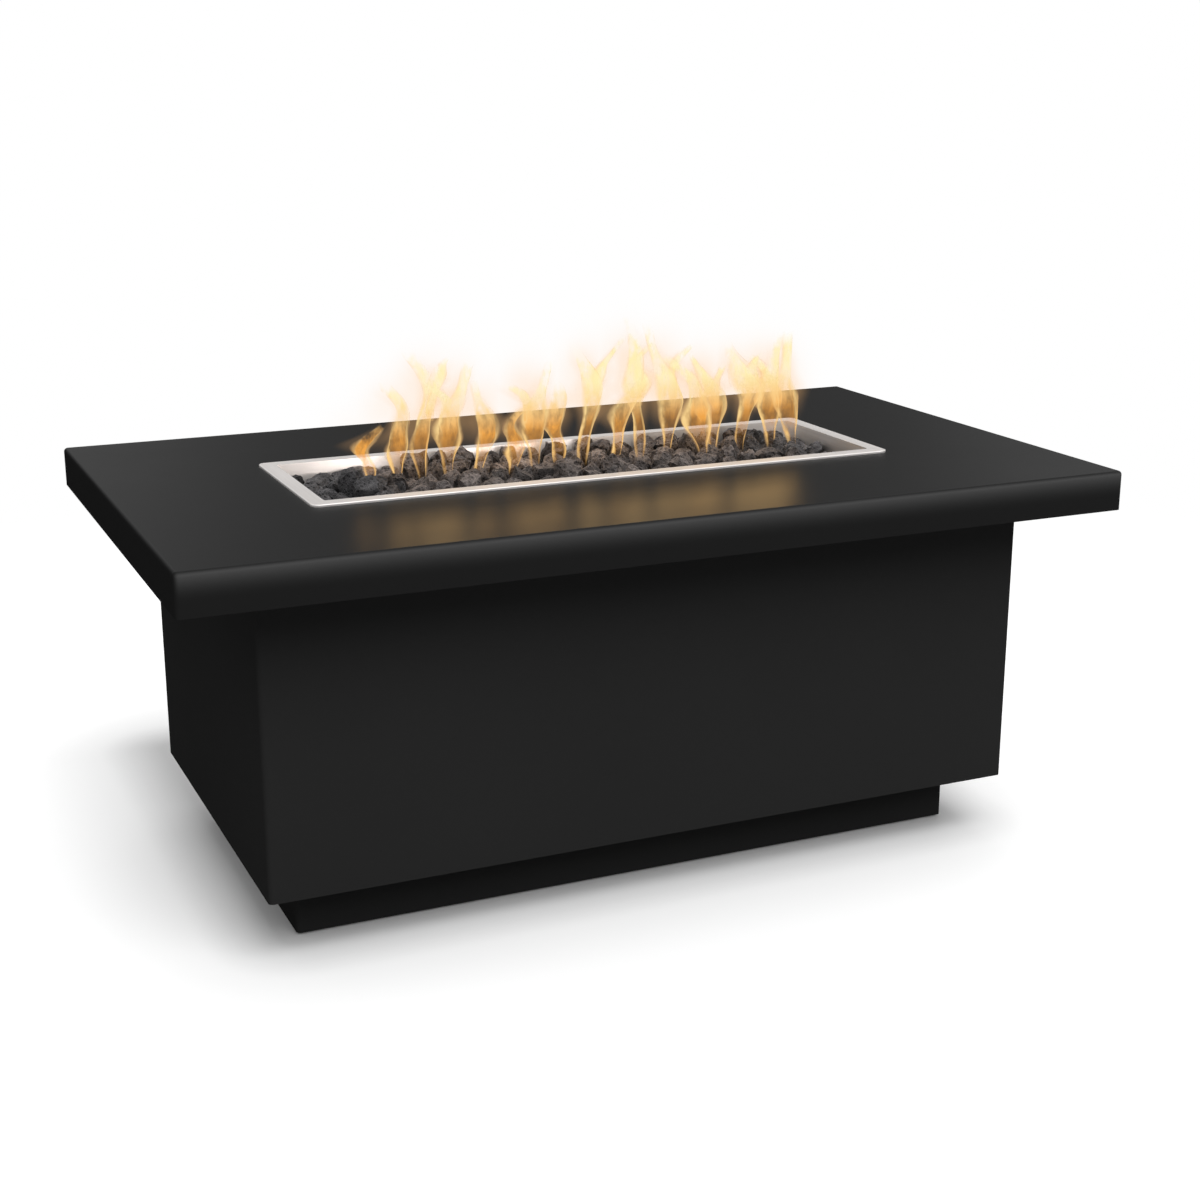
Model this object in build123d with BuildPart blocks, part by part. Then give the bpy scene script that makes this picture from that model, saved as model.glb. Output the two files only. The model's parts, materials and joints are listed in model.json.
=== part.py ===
from build123d import *
import math
import os
import random

os.makedirs("parts", exist_ok=True)

# Table top, millimetres
top_length = 1220.0
top_width = 711.0
top_height = 508.0
top_depth = 51.0
top_sheet = 3.0
top_edge_radius = 5.0
top_corner_radius = 6.0
apron_return = 22.0

# Base shell
base_length = 1016.0
base_width = 546.0
base_sheet = 2.0
base_corner_radius = 6.0
slip_gap = 0.4

# Toe kick, floor glides and base floor
kick_length = 920.0
kick_width = 412.0
kick_height = 78.0
kick_sheet = 2.0
kick_flange = 30.0
kick_corner_radius = 5.0
glide_length = 70.0
glide_width = 22.0
glide_thickness = 3.0
deck_sheet = 2.0
deck_vent_length = 60.0
deck_vent_width = 8.0
deck_vent_count = 6
deck_vent_pitch = 110.0

# Inner frame
post_leg = 32.0
post_sheet = 3.0
rail_size = 25.0
rail_wall = 2.0
cross_rail_setback = 14.0

# Fasteners
bolt_radius = 4.0
bolt_head_flats = 13.0
bolt_head_height = 5.3
bolt_nut_height = 6.5
bolt_clearance = 0.4
stud_radius = 3.0
stud_nut_flats = 10.0
stud_nut_height = 5.0
stud_tail = 9.0
screw_radius = 2.5
screw_head_radius = 4.75
screw_head_height = 2.6
screw_length = 12.0

# Rear panel and access door
door_length = 420.0
door_sheet = 1.6
door_gap = 2.0
door_sill = 38.0
door_head = 62.0
door_corner_radius = 4.0
door_seat = 10.0
frame_overlap = 12.0
frame_sheet = 2.0
stiffener_inset = 25.0
stiffener_depth = 15.0
stiffener_sheet = 1.6
vent_length = 150.0
vent_width = 8.0
vent_pitch = 20.0
vent_count = 8
pull_reach = 28.0
pull_span = 96.0
pull_radius = 5.0
pull_inset = 32.0
catch_width = 14.0
catch_height = 40.0
catch_depth = 12.0

# Door hinges
hinge_length = 54.0
hinge_leaf = 26.0
hinge_sheet = 2.0
hinge_barrel_radius = 4.0
hinge_pin_radius = 2.0
hinge_pin_gap = 0.1
hinge_knuckle_gap = 0.5
hinge_inset = 52.0
rivet_radius = 2.0
rivet_head_radius = 3.6
rivet_head_height = 1.2
rivet_gap = 0.1

# Burner pan
pan_length = 756.0
pan_width = 222.0
pan_depth = 75.0
pan_sheet = 1.5
pan_corner_radius = 4.0
rim_width = 20.0
rim_rise = 3.0
rim_corner_radius = 10.0
cutout_gap = 4.0
drain_radius = 4.0

# Heat shield under the pan
shield_length = 690.0
shield_width = 200.0
shield_sheet = 1.0
shield_gap = 28.0
shield_turn = 12.0
spacer_radius = 6.0
shield_stud_radius = 2.5
shield_stud_gap = 0.4
shield_stud_inset_x = 45.0
shield_stud_inset_y = 31.0
shield_nut_flats = 8.0
shield_nut_height = 4.0

# Burner
burner_length = 620.0
burner_radius = 12.7
burner_wall = 1.5
burner_lift = 20.0
burner_port_radius = 1.6
burner_port_pitch = 20.0
cap_sheet = 3.0
cap_plug = 6.0
bracket_offset = 220.0
bracket_width = 60.0
bracket_sheet = 3.0
bracket_foot = 18.0
fit_gap = 0.1

# Gas train below the pan
nipple_radius = 10.65
nipple_bore = 8.0
nipple_gap = 0.2
nipple_nut_flats = 30.0
nipple_nut_height = 8.0
nipple_drop = 14.0
mixer_radius = 17.0
mixer_height = 46.0
mixer_wall = 4.0
mixer_port_radius = 5.0
orifice_radius = 1.5
tube_radius = 6.0
tube_wall = 1.0
tube_bend = 30.0
pipe_drop = 42.0

# Control plate, valve and knob
plate_width = 172.0
plate_height = 92.0
plate_sheet = 2.0
plate_corner_radius = 6.0
plate_margin = 16.0
plate_screw_inset = 8.0
igniter_spacing = 75.0
valve_depth = 44.0
valve_width = 50.0
valve_height = 40.0
valve_bore = 10.0
valve_bore_depth = 34.0
valve_boss_radius = 10.0
valve_boss_length = 12.0
bonnet_length = 11.0
plug_length = 20.0
running_gap = 0.05
clear_gap = 0.3
spindle_radius = 4.0
spindle_flat = 3.0
spindle_socket = 17.0
knob_travel = 4.0
knob_radius = 23.0
knob_height = 24.0
knob_grip_count = 12
knob_grip_radius = 3.0
bezel_radius = 31.0
bezel_height = 2.5
valve_screw_radius = 2.0
valve_screw_spacing = 38.0
valve_screw_length = 14.0

# Igniter
igniter_radius = 13.0
igniter_length = 65.0
igniter_neck = 11.0
button_radius = 9.0
button_length = 21.0
button_travel = 5.0
button_stand = 6.0
igniter_ring_radius = 15.0
igniter_ring_height = 4.0
electrode_x = 120.0
electrode_y = 28.0
electrode_radius = 3.5
electrode_collar = 7.0
electrode_collar_height = 4.0
electrode_height = 28.0
electrode_tip = 8.0
lead_radius = 2.5
lead_bend = 10.0
lead_drop = 8.0
lead_offset = 30.0
capillary_radius = 1.5
probe_radius = 3.0
clip_length = 10.0
clip_wall = 3.0

# Gas inlet and shutoff
inlet_x = 200.0
inlet_y = 90.0
inlet_drop = 33.0
inlet_groove_width = 2.0
inlet_groove_depth = 0.8
inlet_rise = 16.0
shutoff_flats = 36.0
shutoff_height = 50.0
shutoff_boss_radius = 9.0
shutoff_boss_length = 10.0
stem_radius = 4.0
stem_depth = 9.0
lever_length = 84.0
lever_width = 14.0
lever_sheet = 5.0

# Lava rocks
bed_gap = 1.0
bed_cover = 0.3
rock_pitch = 34.0
rock_jitter = 5.0
rock_max_radius = 23.0
rock_min_radius = 6.0
rock_gap = 0.5
low_rock_zone = 62.0
rock_seed = 11

# Faces and levels that follow from the sizes
inner_x = base_length / 2 - base_sheet
inner_y = base_width / 2 - base_sheet
top_under = top_height - top_sheet
apron_bottom = top_height - top_depth
deck_top = kick_height + deck_sheet
rail_bottom = top_under - rail_size
cutout_length = pan_length + 2 * pan_sheet + 2 * cutout_gap
cutout_width = pan_width + 2 * pan_sheet + 2 * cutout_gap
rim_top = top_height + rim_rise
pan_floor = top_height - pan_depth
pan_under = pan_floor - pan_sheet
shield_top = pan_under - shield_gap
shield_under = shield_top - shield_sheet
burner_axis = pan_floor + burner_lift + burner_radius
bed_top = burner_axis + burner_radius + bed_cover
mixer_top = shield_under - nipple_drop
mixer_bottom = mixer_top - mixer_height
control_z = mixer_bottom - pipe_drop
plate_back = base_length / 2
plate_front = plate_back + plate_sheet
plate_y = igniter_spacing / 2
valve_back = plate_back - valve_depth
valve_inlet_x = plate_back - valve_depth / 2
valve_inlet_z = control_z - valve_height / 2 - valve_boss_length
igniter_back = plate_back - igniter_length
lead_level = shield_under - lead_drop
shutoff_bottom = deck_top + inlet_rise
shutoff_top = shutoff_bottom + shutoff_height
door_bottom = deck_top + door_sill
door_top = rail_bottom - door_head
door_height = door_top - door_bottom
door_mid = (door_top + door_bottom) / 2
opening_length = door_length + 2 * door_gap
opening_height = door_height + 2 * door_gap
rear_face = base_width / 2
hinge_x = -(door_length + door_gap) / 2
hinge_y = rear_face + hinge_barrel_radius + clear_gap
hinge_centres = (door_bottom + hinge_inset, door_top - hinge_inset)
knuckle_length = (hinge_length - 2 * hinge_knuckle_gap) / 3


# Rectangular tubes and repeated places
def rail_section(width, height):
    """Draws a square tube's section in the current sketch."""
    Rectangle(width, height)
    Rectangle(width - 2 * rail_wall, height - 2 * rail_wall, mode=Mode.SUBTRACT)


def four_places(x, y):
    """The four places at plus and minus x and y."""
    return [(-x, -y), (x, -y), (x, y), (-x, y)]


def bent_tube(points, bend, radius, bore):
    """A round tube, or a rod where the bore is nought, along a line with rounded corners."""
    with BuildPart() as tube:
        with BuildLine():
            run = FilletPolyline(*points, radius=bend)
        with BuildSketch(Plane(origin=run @ 0, z_dir=run % 0)):
            Circle(radius)
            if bore > 0:
                Circle(bore, mode=Mode.SUBTRACT)
        sweep()
    return tube


stud_rows = (-(inner_y - rail_size / 2), inner_y - rail_size / 2)
stud_places = [(share * base_length, y) for share in (-0.4, -0.18, 0.18, 0.4) for y in stud_rows]
bolt_x = kick_length / 2 - kick_sheet - kick_flange * 0.55
bolt_y = kick_width / 2 - kick_sheet - kick_flange * 0.55
bolt_places = four_places(0.7 * bolt_x, bolt_y)
bolt_places += [(0.0, bolt_y), (0.0, -bolt_y), (bolt_x, 0.0), (-bolt_x, 0.0)]
plate_screw_x = plate_width - 2 * plate_screw_inset
plate_screw_y = plate_height - 2 * plate_screw_inset
spacer_places = four_places(shield_length / 2 - shield_stud_inset_x, shield_width / 2 - shield_stud_inset_y)
rear_screw_x = inner_x - post_leg * 0.6
rear_screw_places = [(side * rear_screw_x, deck_top + share * (rail_bottom - deck_top))
                     for side in (-1, 1) for share in (0.08, 0.36, 0.64, 0.92)]

# Table top: a folded tray with a returned apron
with BuildPart() as table_top:
    with BuildSketch(Plane.XY.offset(apron_bottom)):
        RectangleRounded(top_length, top_width, top_corner_radius)
    extrude(amount=top_depth)
    fillet(table_top.faces().sort_by(Axis.Z)[-1].edges(), radius=top_edge_radius)
    with BuildSketch(Plane.XY.offset(apron_bottom)):
        RectangleRounded(top_length - 2 * top_sheet, top_width - 2 * top_sheet, top_corner_radius - top_sheet)
    extrude(amount=top_depth - top_sheet, mode=Mode.SUBTRACT)
    with BuildSketch(Plane.XY.offset(apron_bottom)):
        RectangleRounded(top_length - top_sheet, top_width - top_sheet, top_corner_radius - top_sheet / 2)
        Rectangle(top_length - 2 * apron_return - 2 * top_sheet, top_width - 2 * apron_return - 2 * top_sheet,
                  mode=Mode.SUBTRACT)
    extrude(amount=top_sheet)
    with BuildSketch(Plane.XY.offset(top_under)):
        RectangleRounded(cutout_length, cutout_width, pan_corner_radius + cutout_gap)
    extrude(amount=top_sheet, mode=Mode.SUBTRACT)

# Base wrap: front and ends folded from one sheet, with an opening for the controls in the right end
with BuildPart() as base_wrap:
    with BuildSketch(Plane.XY.offset(kick_height)):
        with BuildLine():
            FilletPolyline((-base_length / 2, rear_face), (-base_length / 2, -rear_face),
                           (base_length / 2, -rear_face), (base_length / 2, rear_face),
                           radius=base_corner_radius)
            offset(amount=base_sheet, side=Side.LEFT)
        make_face()
    extrude(amount=top_under - kick_height)
    with BuildSketch(Plane.YZ.offset(base_length / 2)):
        with Locations((plate_y, control_z)):
            RectangleRounded(plate_width - 2 * plate_margin, plate_height - 2 * plate_margin,
                             plate_corner_radius)
    extrude(amount=-2 * base_sheet, mode=Mode.SUBTRACT)
    with BuildSketch(Plane.YZ.offset(base_length / 2)):
        with Locations((plate_y, control_z)):
            with GridLocations(plate_screw_x, plate_screw_y, 2, 2):
                Circle(screw_radius + fit_gap)
    extrude(amount=-2 * base_sheet, mode=Mode.SUBTRACT)

# Rear panel with a door opening and two fields of vent slots
with BuildPart() as rear_panel:
    with BuildSketch(Plane.XZ.offset(-rear_face)):
        with Locations((0, (kick_height + top_under) / 2)):
            Rectangle(2 * inner_x - 2 * slip_gap, top_under - kick_height - 2 * slip_gap)
        with Locations((0, door_mid)):
            RectangleRounded(opening_length, opening_height, door_corner_radius + door_gap,
                             mode=Mode.SUBTRACT)
        for side in (-1, 1):
            with Locations((side * (opening_length / 2 + inner_x - post_leg) / 2, door_mid)):
                with GridLocations(vent_length, vent_pitch, 1, vent_count):
                    SlotOverall(vent_length, vent_width, mode=Mode.SUBTRACT)
        with Locations(*rear_screw_places):
            Circle(screw_radius + fit_gap, mode=Mode.SUBTRACT)
        for level in hinge_centres:
            with Locations((hinge_x - hinge_leaf * 0.68, level)):
                with GridLocations(1, hinge_length * 0.6, 1, 2):
                    Circle(rivet_radius + rivet_gap, mode=Mode.SUBTRACT)
    extrude(amount=base_sheet)

# Floor of the base with vent slots in the overhang
with BuildPart() as base_deck:
    with BuildSketch(Plane.XY.offset(kick_height)):
        RectangleRounded(2 * inner_x - 2 * slip_gap, 2 * inner_y - 2 * slip_gap, base_corner_radius)
        with Locations((inlet_x, inlet_y)):
            Circle(nipple_radius + nipple_gap, mode=Mode.SUBTRACT)
        with Locations(*bolt_places):
            Circle(bolt_radius + bolt_clearance, mode=Mode.SUBTRACT)
        for side in (-1, 1):
            with Locations((0, side * (inner_y + kick_width / 2) / 2)):
                with GridLocations(deck_vent_pitch, 1, deck_vent_count, 1):
                    SlotOverall(deck_vent_length, deck_vent_width, mode=Mode.SUBTRACT)
    extrude(amount=deck_sheet)

# Toe kick: a ring of sheet with inward flanges at its foot and head
with BuildPart() as toe_kick:
    with BuildSketch(Plane.XY.offset(glide_thickness)):
        RectangleRounded(kick_length, kick_width, kick_corner_radius)
        RectangleRounded(kick_length - 2 * kick_sheet, kick_width - 2 * kick_sheet,
                         kick_corner_radius - kick_sheet, mode=Mode.SUBTRACT)
    extrude(amount=kick_height - glide_thickness)
    for level in (glide_thickness, kick_height - kick_sheet):
        with BuildSketch(Plane.XY.offset(level)):
            RectangleRounded(kick_length - kick_sheet, kick_width - kick_sheet,
                             kick_corner_radius - kick_sheet / 2)
            Rectangle(kick_length - 2 * kick_sheet - 2 * kick_flange,
                      kick_width - 2 * kick_sheet - 2 * kick_flange, mode=Mode.SUBTRACT)
        extrude(amount=kick_sheet)
    with BuildSketch(Plane.XY.offset(kick_height)):
        with Locations(*bolt_places):
            Circle(bolt_radius + bolt_clearance)
    extrude(amount=-kick_sheet, mode=Mode.SUBTRACT)

# Rubber pads under the toe kick
with BuildPart() as floor_glides:
    with BuildSketch():
        with GridLocations(kick_length / 2 - glide_length, kick_width - 2 * kick_sheet - kick_flange, 3, 2):
            RectangleRounded(glide_length, glide_width, glide_width / 4)
    extrude(amount=glide_thickness)

# Bolts and nuts that hold the base floor on the toe kick
with BuildPart() as kick_bolts:
    with BuildSketch(Plane.XY.offset(deck_top)):
        with Locations(*bolt_places):
            RegularPolygon(bolt_head_flats / 2, 6, major_radius=False)
    extrude(amount=bolt_head_height)
    with BuildSketch(Plane.XY.offset(deck_top)):
        with Locations(*bolt_places):
            Circle(bolt_radius)
    extrude(amount=-(deck_sheet + kick_sheet + bolt_nut_height + bolt_radius))

with BuildPart() as kick_nuts:
    with BuildSketch(Plane.XY.offset(kick_height - kick_sheet)):
        with Locations(*bolt_places):
            RegularPolygon(bolt_head_flats / 2, 6, major_radius=False)
            Circle(bolt_radius + fit_gap, mode=Mode.SUBTRACT)
    extrude(amount=-bolt_nut_height)

# Corner posts: four angles that stand on the base floor and carry the rails
with BuildPart() as corner_posts:
    with BuildSketch(Plane.XY.offset(deck_top)):
        for side_x in (-1, 1):
            for side_y in (-1, 1):
                with Locations((side_x * (inner_x - post_leg / 2), side_y * (inner_y - post_sheet / 2))):
                    Rectangle(post_leg, post_sheet)
                with Locations((side_x * (inner_x - post_sheet / 2), side_y * (inner_y - post_leg / 2))):
                    Rectangle(post_sheet, post_leg)
    extrude(amount=rail_bottom - deck_top)
    front_edges = corner_posts.edges().filter_by(Axis.Z).group_by(Axis.Y)[0].sort_by(Axis.X)
    fillet([front_edges[0], front_edges[-1]], radius=base_corner_radius - base_sheet / 2)
    with BuildSketch(Plane.XZ.offset(-inner_y)):
        with Locations(*rear_screw_places):
            Circle(screw_radius + fit_gap)
    extrude(amount=post_sheet, mode=Mode.SUBTRACT)

# Rails under the table top: two long, two end and two beside the pan
with BuildPart() as long_rails:
    for side in (-1, 1):
        with BuildSketch(Plane.YZ.offset(-(inner_x - base_corner_radius))):
            with Locations((side * (inner_y - rail_size / 2), rail_bottom + rail_size / 2)):
                rail_section(rail_size, rail_size)
        extrude(amount=2 * (inner_x - base_corner_radius))
    with BuildSketch(Plane.XY.offset(top_under)):
        with Locations(*stud_places):
            Circle(stud_radius + bolt_clearance)
    extrude(amount=-rail_size, mode=Mode.SUBTRACT)

with BuildPart() as end_rails:
    for side in (-1, 1):
        with BuildSketch(Plane.XZ.offset(-(inner_y - rail_size))):
            with Locations((side * (inner_x - rail_size / 2), rail_bottom + rail_size / 2)):
                rail_section(rail_size, rail_size)
        extrude(amount=2 * (inner_y - rail_size))

with BuildPart() as cross_rails:
    for side in (-1, 1):
        with BuildSketch(Plane.XZ.offset(-(inner_y - rail_size))):
            with Locations((side * (cutout_length / 2 + cross_rail_setback + rail_size / 2),
                            rail_bottom + rail_size / 2)):
                rail_section(rail_size, rail_size)
        extrude(amount=2 * (inner_y - rail_size))

# Studs under the table top and their nuts below the long rails
with BuildPart() as top_studs:
    with BuildSketch(Plane.XY.offset(top_under)):
        with Locations(*stud_places):
            Circle(stud_radius)
    extrude(amount=-(rail_size + stud_tail))

with BuildPart() as top_nuts:
    with BuildSketch(Plane.XY.offset(rail_bottom)):
        with Locations(*stud_places):
            RegularPolygon(stud_nut_flats / 2, 6, major_radius=False)
            Circle(stud_radius + fit_gap, mode=Mode.SUBTRACT)
    extrude(amount=-stud_nut_height)

# Screws that hold the rear panel on the posts
with BuildPart() as rear_screws:
    with BuildSketch(Plane.XZ.offset(-rear_face)):
        with Locations(*rear_screw_places):
            Circle(screw_radius)
    extrude(amount=screw_length)
    with BuildSketch(Plane.XZ.offset(-rear_face)):
        with Locations(*rear_screw_places):
            Circle(screw_head_radius)
    extrude(amount=-screw_head_height)
    chamfer(rear_screws.faces().group_by(Axis.Y)[-1].edges(), length=screw_head_height / 3)

# Frame behind the door opening, which the door closes against
with BuildPart() as door_frame:
    with BuildSketch(Plane.XZ.offset(-inner_y)):
        with Locations((0, door_mid)):
            Rectangle(opening_length + 2 * frame_overlap, opening_height + 2 * frame_overlap)
            Rectangle(opening_length - 2 * door_seat, opening_height - 2 * door_seat, mode=Mode.SUBTRACT)
    extrude(amount=frame_sheet)

# Access door, its stiffener and its pull
with BuildPart() as access_door:
    with BuildSketch(Plane.XZ.offset(-rear_face)):
        with Locations((0, door_mid)):
            RectangleRounded(door_length, door_height, door_corner_radius)
        for level in hinge_centres:
            with Locations((hinge_x + hinge_leaf * 0.68, level)):
                with GridLocations(1, hinge_length * 0.6, 1, 2):
                    Circle(rivet_radius + rivet_gap, mode=Mode.SUBTRACT)
    extrude(amount=door_sheet)

with BuildPart() as door_stiffener:
    with BuildSketch(Plane.XZ.offset(-(rear_face - door_sheet))):
        with Locations((0, door_mid)):
            Rectangle(door_length - 2 * stiffener_inset, door_height - 2 * stiffener_inset)
            Rectangle(door_length - 2 * stiffener_inset - 2 * stiffener_sheet,
                      door_height - 2 * stiffener_inset - 2 * stiffener_sheet, mode=Mode.SUBTRACT)
    extrude(amount=stiffener_depth)

with BuildPart() as door_pull:
    with BuildSketch(Plane.XZ.offset(-rear_face)):
        with Locations((door_length / 2 - pull_inset, door_mid)):
            with GridLocations(1, pull_span, 1, 2):
                Circle(pull_radius * 0.8)
    extrude(amount=-pull_reach)
    with BuildSketch(Plane.XY.offset(door_mid - pull_span / 2 - 2 * pull_radius)):
        with Locations((door_length / 2 - pull_inset, rear_face + pull_reach)):
            Circle(pull_radius)
    extrude(amount=pull_span + 4 * pull_radius)
    bar_ends = door_pull.faces().sort_by(Axis.Z)
    fillet(bar_ends[0].edges() + bar_ends[-1].edges(), radius=1.5)

# Magnet catch on the frame beside the door's free edge
catch_edge = opening_length / 2 - door_seat
with BuildPart() as magnet_catch:
    with BuildSketch(Plane.XY.offset(door_mid - catch_height / 2)):
        with Locations((catch_edge - catch_width / 2, inner_y - catch_depth / 2)):
            Rectangle(catch_width, catch_depth)
        with Locations((catch_edge + frame_overlap / 2, inner_y - frame_sheet - frame_sheet / 2)):
            Rectangle(frame_overlap, frame_sheet)
    extrude(amount=catch_height)


# Butt hinges: barrels stand outside the rear face, in line with the gap beside the door
def hinge_leaves(side, knuckles):
    """The leaves on one side of the two hinges, with their share of the knuckles."""
    with BuildPart() as leaves:
        for level in hinge_centres:
            foot = level - hinge_length / 2
            near = hinge_barrel_radius + hinge_knuckle_gap
            with BuildSketch(Plane.XY.offset(foot)):
                with Locations((hinge_x + side * (near + hinge_leaf) / 2, rear_face + hinge_sheet / 2)):
                    Rectangle(hinge_leaf - near, hinge_sheet)
            extrude(amount=hinge_length)
            for knuckle in knuckles:
                with BuildSketch(Plane.XY.offset(foot + knuckle * (knuckle_length + hinge_knuckle_gap))):
                    with Locations((hinge_x + side * near / 2, rear_face + hinge_sheet / 2)):
                        Rectangle(near + hinge_sheet, hinge_sheet)
                    with Locations((hinge_x, hinge_y)):
                        Circle(hinge_barrel_radius)
                        Circle(hinge_pin_radius + hinge_pin_gap, mode=Mode.SUBTRACT)
                extrude(amount=knuckle_length)
        with BuildSketch(Plane.XZ.offset(-rear_face)):
            for level in hinge_centres:
                with Locations((hinge_x + side * hinge_leaf * 0.68, level)):
                    with GridLocations(1, hinge_length * 0.6, 1, 2):
                        Circle(rivet_radius + rivet_gap)
        extrude(amount=-hinge_sheet, mode=Mode.SUBTRACT)
    return leaves


def hinge_rivets(side, sheet):
    """Rivets through one side's leaves and the sheet behind them."""
    with BuildPart() as rivets:
        for radius, reach in ((rivet_radius, -(hinge_sheet + sheet)), (rivet_head_radius, rivet_head_height)):
            with BuildSketch(Plane.XZ.offset(-(rear_face + hinge_sheet))):
                for level in hinge_centres:
                    with Locations((hinge_x + side * hinge_leaf * 0.68, level)):
                        with GridLocations(1, hinge_length * 0.6, 1, 2):
                            Circle(radius)
            extrude(amount=-reach)
    return rivets


hinge_frame_leaves = hinge_leaves(-1, (0, 2))
hinge_door_leaves = hinge_leaves(1, (1,))
hinge_frame_rivets = hinge_rivets(-1, base_sheet)
hinge_door_rivets = hinge_rivets(1, door_sheet)

with BuildPart() as hinge_pins:
    for level in hinge_centres:
        with BuildSketch(Plane.XY.offset(level - hinge_length / 2)):
            with Locations((hinge_x, hinge_y)):
                Circle(hinge_pin_radius)
        extrude(amount=hinge_length)
        with BuildSketch(Plane.XY.offset(level + hinge_length / 2)):
            with Locations((hinge_x, hinge_y)):
                Circle(hinge_pin_radius * 1.6)
        extrude(amount=hinge_pin_radius * 0.7)

# Burner pan: tub, wide rim and a turned-down lip that rests on the table top
with BuildPart() as burner_pan:
    with BuildSketch(Plane.XY.offset(top_height)):
        RectangleRounded(pan_length + 2 * rim_width, pan_width + 2 * rim_width, rim_corner_radius)
    extrude(amount=rim_rise)
    fillet(burner_pan.faces().sort_by(Axis.Z)[-1].edges(), radius=pan_sheet * 0.8)
    with BuildSketch(Plane.XY.offset(top_height)):
        RectangleRounded(pan_length + 2 * rim_width - 2 * pan_sheet, pan_width + 2 * rim_width - 2 * pan_sheet,
                         rim_corner_radius - pan_sheet)
    extrude(amount=rim_rise - pan_sheet, mode=Mode.SUBTRACT)
    with BuildSketch(Plane.XY.offset(pan_under)):
        RectangleRounded(pan_length + 2 * pan_sheet, pan_width + 2 * pan_sheet, pan_corner_radius + pan_sheet)
    extrude(amount=rim_top - pan_under - pan_sheet / 2)
    with BuildSketch(Plane.XY.offset(pan_floor)):
        RectangleRounded(pan_length, pan_width, pan_corner_radius)
    extrude(amount=rim_top - pan_floor, mode=Mode.SUBTRACT)
    with BuildSketch(Plane.XY.offset(pan_floor)):
        Circle(nipple_radius + nipple_gap)
        with Locations((electrode_x, electrode_y), (electrode_x, -electrode_y)):
            Circle(electrode_radius + clear_gap)
        with GridLocations(pan_length * 0.42, pan_width * 0.7, 3, 2):
            Circle(drain_radius)
    extrude(amount=-pan_sheet, mode=Mode.SUBTRACT)

# Heat shield hung under the pan on studs and spacers
with BuildPart() as heat_shield:
    with BuildSketch(Plane.XY.offset(shield_top)):
        Rectangle(shield_length, shield_width)
    extrude(amount=-shield_sheet)
    with BuildSketch(Plane.XY.offset(shield_top)):
        with GridLocations(1, shield_width - shield_sheet, 1, 2):
            Rectangle(shield_length, shield_sheet)
    extrude(amount=-shield_turn)
    with BuildSketch(Plane.XY.offset(shield_top)):
        Circle(nipple_radius * 1.6)
        with Locations((electrode_x, electrode_y), (electrode_x, -electrode_y)):
            Circle(electrode_radius * 2)
        with Locations(*spacer_places):
            Circle(shield_stud_radius + shield_stud_gap)
    extrude(amount=-shield_sheet, mode=Mode.SUBTRACT)

with BuildPart() as shield_spacers:
    with BuildSketch(Plane.XY.offset(shield_top)):
        with Locations(*spacer_places):
            Circle(spacer_radius)
            Circle(shield_stud_radius + shield_stud_gap, mode=Mode.SUBTRACT)
    extrude(amount=shield_gap)

with BuildPart() as shield_studs:
    with BuildSketch(Plane.XY.offset(pan_under)):
        with Locations(*spacer_places):
            Circle(shield_stud_radius)
    extrude(amount=-(shield_gap + shield_sheet + 1.5 * shield_nut_height))

with BuildPart() as shield_nuts:
    with BuildSketch(Plane.XY.offset(shield_under)):
        with Locations(*spacer_places):
            RegularPolygon(shield_nut_flats / 2, 6, major_radius=False)
            Circle(shield_stud_radius + fit_gap, mode=Mode.SUBTRACT)
    extrude(amount=-shield_nut_height)

# Linear burner tube with a row of ports, end caps and two saddle brackets
with BuildPart() as burner_tube:
    with BuildSketch(Plane.YZ.offset(-burner_length / 2)):
        with Locations((0, burner_axis)):
            Circle(burner_radius)
            Circle(burner_radius - burner_wall, mode=Mode.SUBTRACT)
    extrude(amount=burner_length)
    with BuildSketch(Plane.XY.offset(burner_axis)):
        with GridLocations(burner_port_pitch, 1, int((burner_length - 60) / burner_port_pitch), 1):
            Circle(burner_port_radius)
    extrude(amount=burner_radius + 1, mode=Mode.SUBTRACT)
    with BuildSketch(Plane.XY.offset(burner_axis)):
        Circle(nipple_radius + nipple_gap)
    extrude(amount=-(burner_radius + 1), mode=Mode.SUBTRACT)

with BuildPart() as burner_caps:
    for side in (-1, 1):
        with BuildSketch(Plane.YZ.offset(side * burner_length / 2)):
            with Locations((0, burner_axis)):
                Circle(burner_radius)
        extrude(amount=side * cap_sheet)
        with BuildSketch(Plane.YZ.offset(side * burner_length / 2)):
            with Locations((0, burner_axis)):
                Circle(burner_radius - burner_wall - fit_gap)
        extrude(amount=-side * cap_plug)

with BuildPart() as burner_brackets:
    for side in (-1, 1):
        with BuildSketch(Plane.YZ.offset(side * bracket_offset)):
            with Locations((0, (pan_floor + burner_axis) / 2)):
                Rectangle(bracket_width, burner_axis - pan_floor)
            with Locations((0, burner_axis)):
                Circle(burner_radius + fit_gap, mode=Mode.SUBTRACT)
        extrude(amount=bracket_sheet)
        with BuildSketch(Plane.XY.offset(pan_floor)):
            with Locations((side * bracket_offset + bracket_foot / 2, 0)):
                Rectangle(bracket_foot, bracket_width)
        extrude(amount=bracket_sheet)

# Threaded nipple through the pan floor, with a nut on each side, and the air mixer below it
with BuildPart() as bulkhead_nipple:
    with BuildSketch(Plane.XY.offset(mixer_top)):
        Circle(nipple_radius)
        Circle(nipple_bore, mode=Mode.SUBTRACT)
    extrude(amount=burner_axis - burner_radius * 0.7 - mixer_top)

with BuildPart() as bulkhead_nuts:
    for level in (pan_floor, pan_under - nipple_nut_height):
        with BuildSketch(Plane.XY.offset(level)):
            RegularPolygon(nipple_nut_flats / 2, 6, major_radius=False)
            Circle(nipple_radius + fit_gap, mode=Mode.SUBTRACT)
        extrude(amount=nipple_nut_height)

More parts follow.
